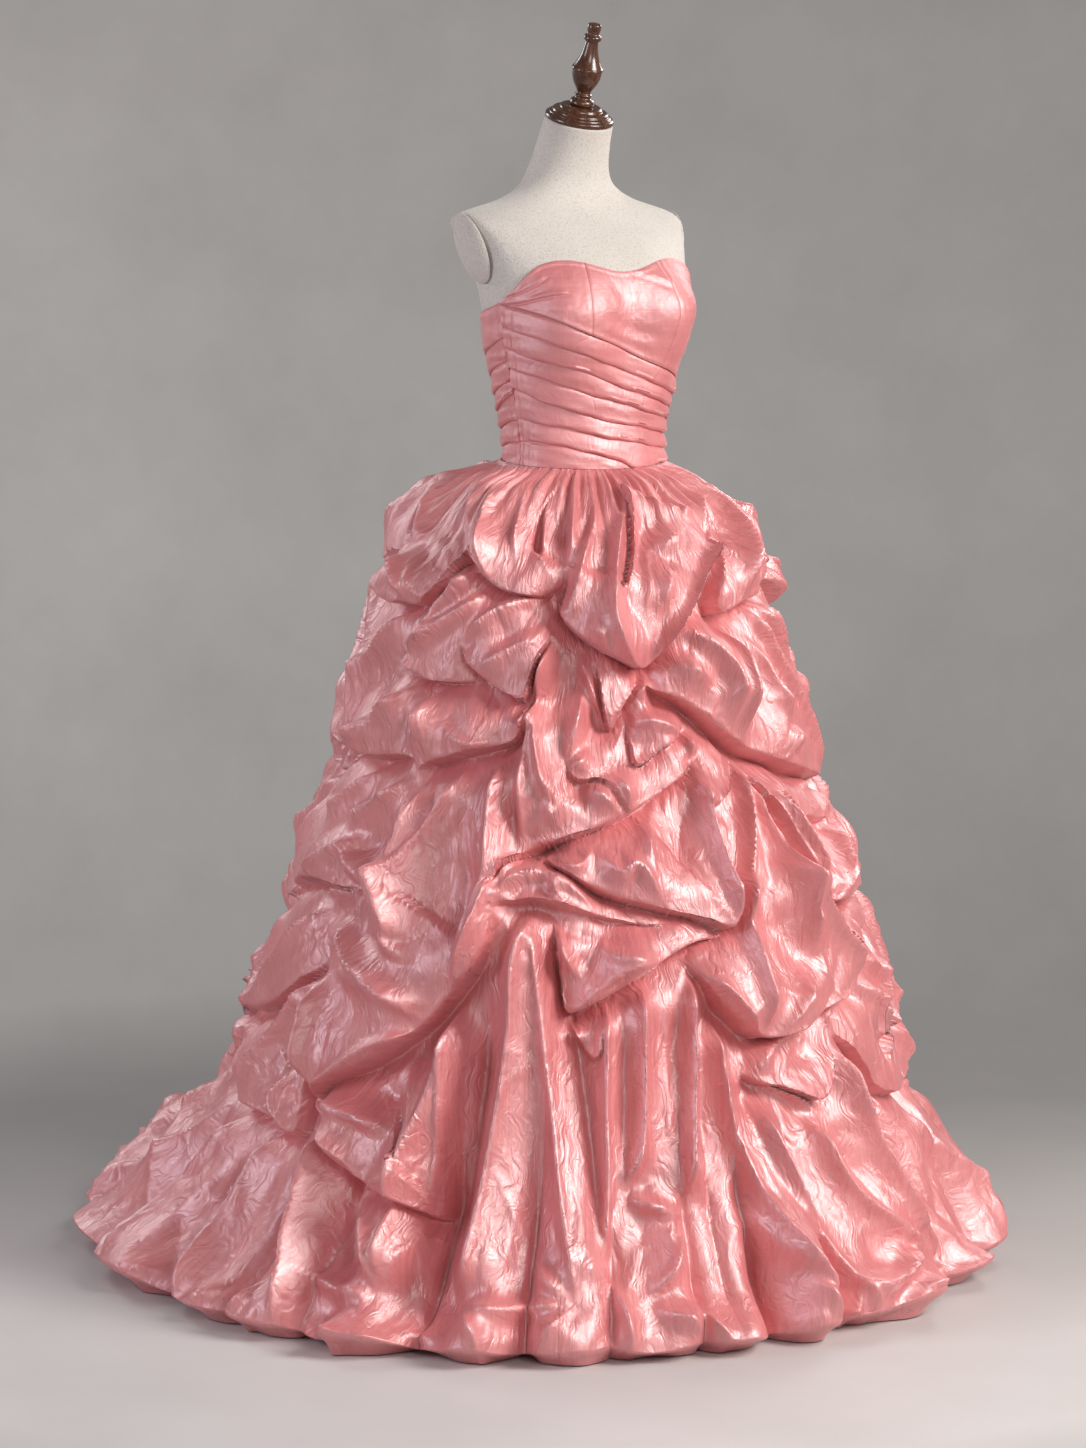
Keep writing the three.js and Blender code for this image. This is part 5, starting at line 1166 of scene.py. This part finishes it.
def skirt_surface(N=640, M=256):
    """Points of the skirt's outer face: N columns round and M + 1 rows down."""
    pouches = both_halves([dict(p=p, height=D, swell=h, taper=tp) for _, p, D, h, tp in POUCHES])
    folds = both_halves([dict(p=p, height=A * FOLD_HEIGHT, width=w * FOLD_WIDTH) for p, A, w in FOLDS], 9)
    K = 420
    z = np.linspace(1.122, 0, 4000); r = (outline(np.radians(35), z) + outline(np.radians(-60), z)) / 2
    s = np.concatenate([[0], np.cumsum(np.hypot(np.diff(z), np.diff(r)))])
    zk = np.interp(np.linspace(0, s[-1], K), s, z)
    # rows lie closer where a pouch's edge crosses them
    n2 = 320
    U2 = np.repeat((-180 + 360 * np.arange(n2) / n2)[:, None], K, 1); V2 = np.repeat(zk[None, :], n2, 0)
    R2 = np.maximum(outline(np.radians(U2), V2), .1)
    dens = np.ones(U2.shape)
    for q in pouches:
        p = soften(q["p"], 2); w = window(U2, V2, p, R2, .03)
        if w is None:
            continue
        d = nearest(U2[w], V2[w], p, R2[w])[0]
        dens[w] = np.maximum(dens[w], 1 + 2.6 * np.exp(-(d / .010) ** 2) * min(1, q["height"] / .03))
    for _ in range(6):
        dens = (np.roll(dens, 1, 0) + 2 * dens + np.roll(dens, -1, 0)) / 4
    cum = np.concatenate([np.zeros((n2, 1)), np.cumsum((dens[:, 1:] + dens[:, :-1]) / 2, 1)], 1); cum /= cum[:, -1:]
    f = np.linspace(0, 1, M - HEM_ROWS + 1)
    Zc = np.stack([np.interp(f, cum[j], zk) for j in range(n2)])
    angles = column_angles(N)
    j = (angles + 180) / 360 * n2; j0 = np.floor(j).astype(int) % n2; tt = (j - np.floor(j))[:, None]
    V = Zc[j0] * (1 - tt) + Zc[(j0 + 1) % n2] * tt
    low = .018
    V = low + V * (1.122 - low) / 1.122
    U = np.repeat(angles[:, None], V.shape[1], 1)
    R = np.maximum(outline(np.radians(U), V), .1)
    ph = np.radians(U)

    lift, under, dip = pouch_field(U, V, R, pouches)
    ridge = fold_field(U, V, R, folds)
    runs = run_of_folds(folds)
    big = crush_field(U, V, R, 170, .24, .0060, .014, 16, wild=.0, runs=runs)
    mid = crush_field(U, V, R, 600, .13, .0024, .0064, 17, wild=.03, runs=runs)
    fine = crush_field(U, V, R, 1500, .040, .0007, .0034, 18, wild=.15, runs=runs)
    hemc = crush_field(U, V, R, 110, .150, .0046, .011, 19, zone=(.02, .17), wild=.10, runs=runs)
    g = np.sin(46 * ph + 1.3 * np.sin(5 * ph) + .9 * np.sin(11 * ph + 1)) + .5 * np.sin(71 * ph + 2 * np.sin(3 * ph))
    down = np.clip((1.122 - V) / .10, 0, 1.6)
    gather = .0034 * g * np.exp(-(down / .60) ** 2) * np.clip(down / .04, 0, 1)
    fade = step01(1 - V / .40)
    # rounded upright folds that stand on the floor, with narrow valleys between them
    lobes = np.abs(np.sin(12.5 * ph + .9 * np.sin(3 * ph + 2) + .7 * np.sin(5 * ph + 1) + .35 * np.sin(9 * ph) + 1.1 * (V - .02) * np.sin(4 * ph + 1)))
    flare = np.clip(1 - V / .42, 0, 1) ** 1.6
    hem_out = .082 * (lobes ** .72 - .62) * (.72 + .28 * np.sin(7 * ph + 2)) * flare
    swell = .014 * fade * (np.sin(17 * ph + 1.1 * np.sin(3 * ph + .6) + .7 * np.sin(5 * ph)) * .7 + .35 * np.sin(29 * ph + 2 * np.sin(4 * ph)))
    top = step01((1.122 - V) / .030); wide_top = step01((1.122 - V) / .085)
    # the outline seen from either side is calmer than the faces between
    deg = (U + 180) % 360 - 180
    calm = 1 - .5 * (np.exp(-(((deg - 57 + 180) % 360 - 180) / 15) ** 2) + np.exp(-(((deg + 123 + 180) % 360 - 180) / 15) ** 2))
    ridge, big, mid = ridge * calm, big * calm, mid * calm
    lift = lift * (.5 + .5 * calm) * 1.12
    h = -.028 * step01((1.122 - V) / .07) * (1 - .9 * fade) + (.54 * lift - .95 * dip + mid + fine) * top + (ridge + big) * wide_top + hemc + hem_out + swell * top + gather

    # crisp creases: what stands out from its surroundings stands out more
    even = h.copy()
    for _ in range(7):
        even = (np.roll(even, 1, 0) + 2 * even + np.roll(even, -1, 0)) / 4
        even[:, 1:-1] = (even[:, :-2] + 2 * even[:, 1:-1] + even[:, 2:]) / 4
    h = h + .62 * np.clip(h - even, -.0060, .0045) * top * calm ** 2

    dz = .006
    sl = (outline(ph, np.minimum(V + dz, 1.122)) - outline(ph, np.maximum(V - dz, 0))) / (np.minimum(V + dz, 1.122) - np.maximum(V - dz, 0))
    nr = 1 / np.sqrt(1 + sl * sl); nz = -sl * nr
    r = outline(ph, V) + h * nr; z = V + h * nz
    # the train, and the front where it stands out on the floor
    r = r + .056 * np.exp(-((deg + 110) / 32) ** 2) * np.clip(1 - V / .22, 0, 1) ** 2.4 + .034 * np.exp(-((deg + 30) / 46) ** 2) * np.clip(1 - V / .24, 0, 1) ** 2
    z = z - .30 * under * top
    # round at the floor
    r = r - .007 * np.clip(1 - (V - .018) / .024, 0, 1) ** 2
    z = z + .020 * (1 - lobes) ** 1.5 * np.clip(1 - V / .10, 0, 1)
    # the waist seam
    zw = 1.1257 - .007 * np.cos(ph[:, 0]); wr = waist_radius(ph[:, 0])
    blend = 1 - step01((1.122 - V) / .020)
    r = r * (1 - blend) + wr[:, None] * blend
    z = z * (1 - blend) + (zw[:, None] - (1.122 - V) * .5) * blend
    r[:, 0] = wr + .0016 * g[:, 0]; z[:, 0] = zw
    z = np.maximum(z, .007)
    # the hem turns in and under in soft, uneven rolls
    rh, zh = r[:, -1], z[:, -1]
    p1 = ph[:, 0]
    roll = .5 + .5 * np.sin(19 * p1 + 2 * np.sin(5 * p1)) * np.cos(7 * p1 + 1)
    for k in range(1, HEM_ROWS + 1):
        a = k / HEM_ROWS
        rr = rh + (.002 + .005 * roll) * np.sin(math.pi * min(1, a * 1.5)) - (.026 + .018 * roll) * a ** 1.4
        zz = zh * (1 - a) ** .8 + .0015
        r = np.concatenate([r, rr[:, None]], 1); z = np.concatenate([z, np.maximum(zz, .0015)[:, None]], 1)
    ph2 = np.repeat(ph[:, :1], r.shape[1], 1)
    return np.stack([r * np.sin(ph2), -r * np.cos(ph2), z], -1)


def build_skirt():
    x = skirt_surface()
    N, M1, _ = x.shape
    x = x + np.array([AX, AY, 0])
    across = np.linalg.norm(np.roll(x, -1, 0) - x, axis=-1)
    along = np.linalg.norm(x[:, 1:] - x[:, :-1], axis=-1)
    even = along.mean(0, keepdims=True) * .7 + along * .3
    down = np.concatenate([np.zeros((N, 1)), np.cumsum(even, 1)], 1)
    normals = grid_normals(x, wrap=True)
    angles = column_angles(N)
    cuts = [int(np.argmin(np.abs((angles - c + 180) % 360 - 180))) for c in (-108, -36, 36, 108, 180)]
    cuts.append(cuts[0])
    for k, name in enumerate(["skirt_side_right", "skirt_front", "skirt_side_left", "skirt_back_left", "skirt_back_right"]):
        n = (cuts[k + 1] - cuts[k]) % N
        j = (cuts[k] + np.arange(n + 1)) % N
        P, nrm = x[j].copy(), normals[j]
        # a hair's gap along the seam
        P[0] += (P[1] - P[0]) * .04; P[-1] += (P[-2] - P[-1]) * .04
        uv = np.stack([np.repeat(np.concatenate([[0], np.cumsum(across[j[:-1]].mean(1))])[:, None], M1, 1) + k * 1.3, down[j]], -1)
        o = shell(name + "_cloth", P, .0010, TAFFETA, uv, normals=nrm)
        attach(o, "root"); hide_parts(name)


build_skirt()


# ------------------------------------------------- the sizes the cloth was cut, measured and then left unused
def measured(o):
    """The outer face's area of a closed shell of cloth, in square metres."""
    me = o.data
    n = len(me.polygons); a = np.zeros(n); me.polygons.foreach_get("area", a)
    return float(a.sum() / 2)


def declare_sheets():
    for o in BODICE:
        # lengths across and down the outer face, the longest of each
        nc, nr = o["columns"], o["rows"]
        co = np.zeros(len(o.data.vertices) * 3); o.data.vertices.foreach_get("co", co)
        P = co.reshape(-1, 3)[: nc * nr].reshape(nc, nr, 3)
        wide = float(np.linalg.norm(np.diff(P, axis=0), axis=-1).sum(0).max()); long = float(np.linalg.norm(np.diff(P, axis=1), axis=-1).sum(1).max())
        wide, long = max(.010, round(wide + .0005, 3)), round(long + .0005, 3)
        area = min(measured(o), wide * long)


declare_sheets()


# --------------------------------------------------- nodes that stay as packed
for n, m in (("stand_base", WOOD_BASE), ("stand_collar", WOOD_BASE), ("stand_pole", STEEL)):
    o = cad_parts[n]
    o.data.materials.clear(); o.data.materials.append(m)


# -------------------------------------------------------- floor and lights
def build_stage():
    m, t, b = new_material("studio_floor")
    obj = node(t, "TexCoord").outputs["Object"]
    noise = node(t, "TexNoise", Vector=obj, Scale=3.0, Detail=4.0).outputs[0]
    ground = ramp(t, noise, [(.3, (.52, .50, .49)), (.7, (.565, .545, .535))]).outputs[0]
    # painted shade: the floor's colour is darker away from the lights and lighter towards the front
    painted_falloff = node(t, "VectorMath", p_operation="DOT_PRODUCT", Vector=obj)
    painted_falloff.inputs[1].default_value = (.62, .78, 0)
    shade = ramp(t, node(t, "MapRange", Value=painted_falloff.outputs["Value"], From_Min=-1.0, From_Max=1.3).outputs[0], [(.15, (1.15, 1.15, 1.15)), (.62, (.66, .66, .66)), (.85, (.46, .46, .46))]).outputs[0]
    t.links.new(mix_color(t, 1.0, ground, shade, "MULTIPLY"), b.inputs["Base Color"])
    b.inputs["Roughness"].default_value = .55
    b.inputs["Specular IOR Level"].default_value = .3
    # the floor melts into the backdrop at its rim
    dist = node(t, "VectorMath", p_operation="LENGTH", Vector=obj).outputs["Value"]
    fade = ramp(t, math_node(t, "DIVIDE", dist, 4.2), [(.27, (1, 1, 1)), (.44, (0, 0, 0))]).outputs[0]
    t.links.new(node(t, "RGBToBW", Color=fade).outputs[0], b.inputs["Alpha"])
    n, rings = 96, np.linspace(0, 4.2, 16)
    ang = np.arange(n) * 2 * math.pi / n
    P = np.stack([rings[None, :] * np.cos(ang)[:, None], rings[None, :] * np.sin(ang)[:, None], -.0004 + 0 * ang[:, None] + 0 * rings[None, :]], -1)
    o = mesh_object("studio_floor", P.reshape(-1, 3), grid_faces(n, len(rings), wrap=True, flip=False), None, m)
    weld(o)

    world = bpy.data.worlds.new("studio"); scene.world = world; world.use_nodes = True
    wt = world.node_tree
    for x in list(wt.nodes):
        wt.nodes.remove(x)
    out = wt.nodes.new("ShaderNodeOutputWorld"); bg = wt.nodes.new("ShaderNodeBackground")
    tc = wt.nodes.new("ShaderNodeTexCoord"); sep = wt.nodes.new("ShaderNodeSeparateXYZ")
    wt.links.new(tc.outputs["Generated"], sep.inputs[0])
    # the world's tone by height is both the studio's ambient light and painted shade on the wall, darkest high up
    r = ramp(wt, sep.outputs["Z"], [(0.0, (.20, .19, .185)), (.385, (.285, .272, .265)), (.40, (.29, .275, .268)), (.455, (.345, .33, .32)), (.505, (.325, .305, .295)), (.535, (.29, .275, .265)), (.62, (.13, .125, .12)), (1.0, (.16, .155, .15))])
    mr = wt.nodes.new("ShaderNodeMapRange")
    mr.inputs["From Min"].default_value = -1; mr.inputs["From Max"].default_value = 1
    wt.links.new(sep.outputs["Z"], mr.inputs["Value"]); wt.links.new(mr.outputs[0], r.inputs[0])
    # painted light on the wall: lighter to the left, where the lamps fall on it; it is also faintly mottled
    turn = node(wt, "VectorMath", p_operation="DOT_PRODUCT", Vector=tc.outputs["Generated"])
    turn.inputs[1].default_value = (.839, -.545, 0)
    lean = ramp(wt, node(wt, "MapRange", Value=turn.outputs["Value"], From_Min=-.16, From_Max=.16).outputs[0], [(0, (1.12, 1.12, 1.12)), (1, (.84, .84, .84))]).outputs[0]
    mottle = node(wt, "TexNoise", Vector=tc.outputs["Generated"], Scale=26.0, Detail=6.0, Roughness=.65).outputs[0]
    mottle = ramp(wt, mottle, [(.3, (.94, .94, .94)), (.7, (1.06, 1.06, 1.06))]).outputs[0]
    painted_wall_light = mix_color(wt, 1.0, r.outputs[0], lean, "MULTIPLY")
    wt.links.new(mix_color(wt, 1.0, painted_wall_light, mottle, "MULTIPLY"), bg.inputs[0]); bg.inputs[1].default_value = 1.0
    wt.links.new(bg.outputs[0], out.inputs[0])

    def softbox(name, right, toward, up, w, h, power, colour, aim=(0, 0, .75)):
        # placed from the camera's side: to its right, towards it, and up
        a = math.radians(-33)
        ex, ey = (math.cos(a), math.sin(a)), (math.sin(a), -math.cos(a))
        loc = (AX + ex[0] * right + ey[0] * toward, AY + ex[1] * right + ey[1] * toward, up)
        l = bpy.data.lights.new(name, "AREA"); l.shape = "RECTANGLE"; l.size = w; l.size_y = h; l.energy = power; l.color = colour
        o = bpy.data.objects.new(name, l); scene.collection.objects.link(o); o.location = loc
        from mathutils import Vector
        d = Vector((AX + aim[0], AY + aim[1], aim[2])) - o.location
        o.rotation_euler = d.to_track_quat("-Z", "Y").to_euler()

    softbox("key", 3.3, 1.9, 2.9, 1.7, 2.0, 196, (1, .97, .935))
    softbox("front", 1.2, 4.4, 2.4, 1.6, 1.6, 46, (1, .99, .98))
    softbox("fill_left", -3.4, 1.8, 1.9, 1.2, 1.8, 48, (.90, .88, 1))
    softbox("rim_left", -2.6, -2.2, 2.6, 1.0, 1.6, 34, (.97, .97, 1))
    softbox("rim_back", 2.0, -3.0, 3.0, 1.6, 1.4, 50, (1, .98, .96))


build_stage()
scene.view_settings.view_transform = "Standard"
scene.view_settings.exposure = 0
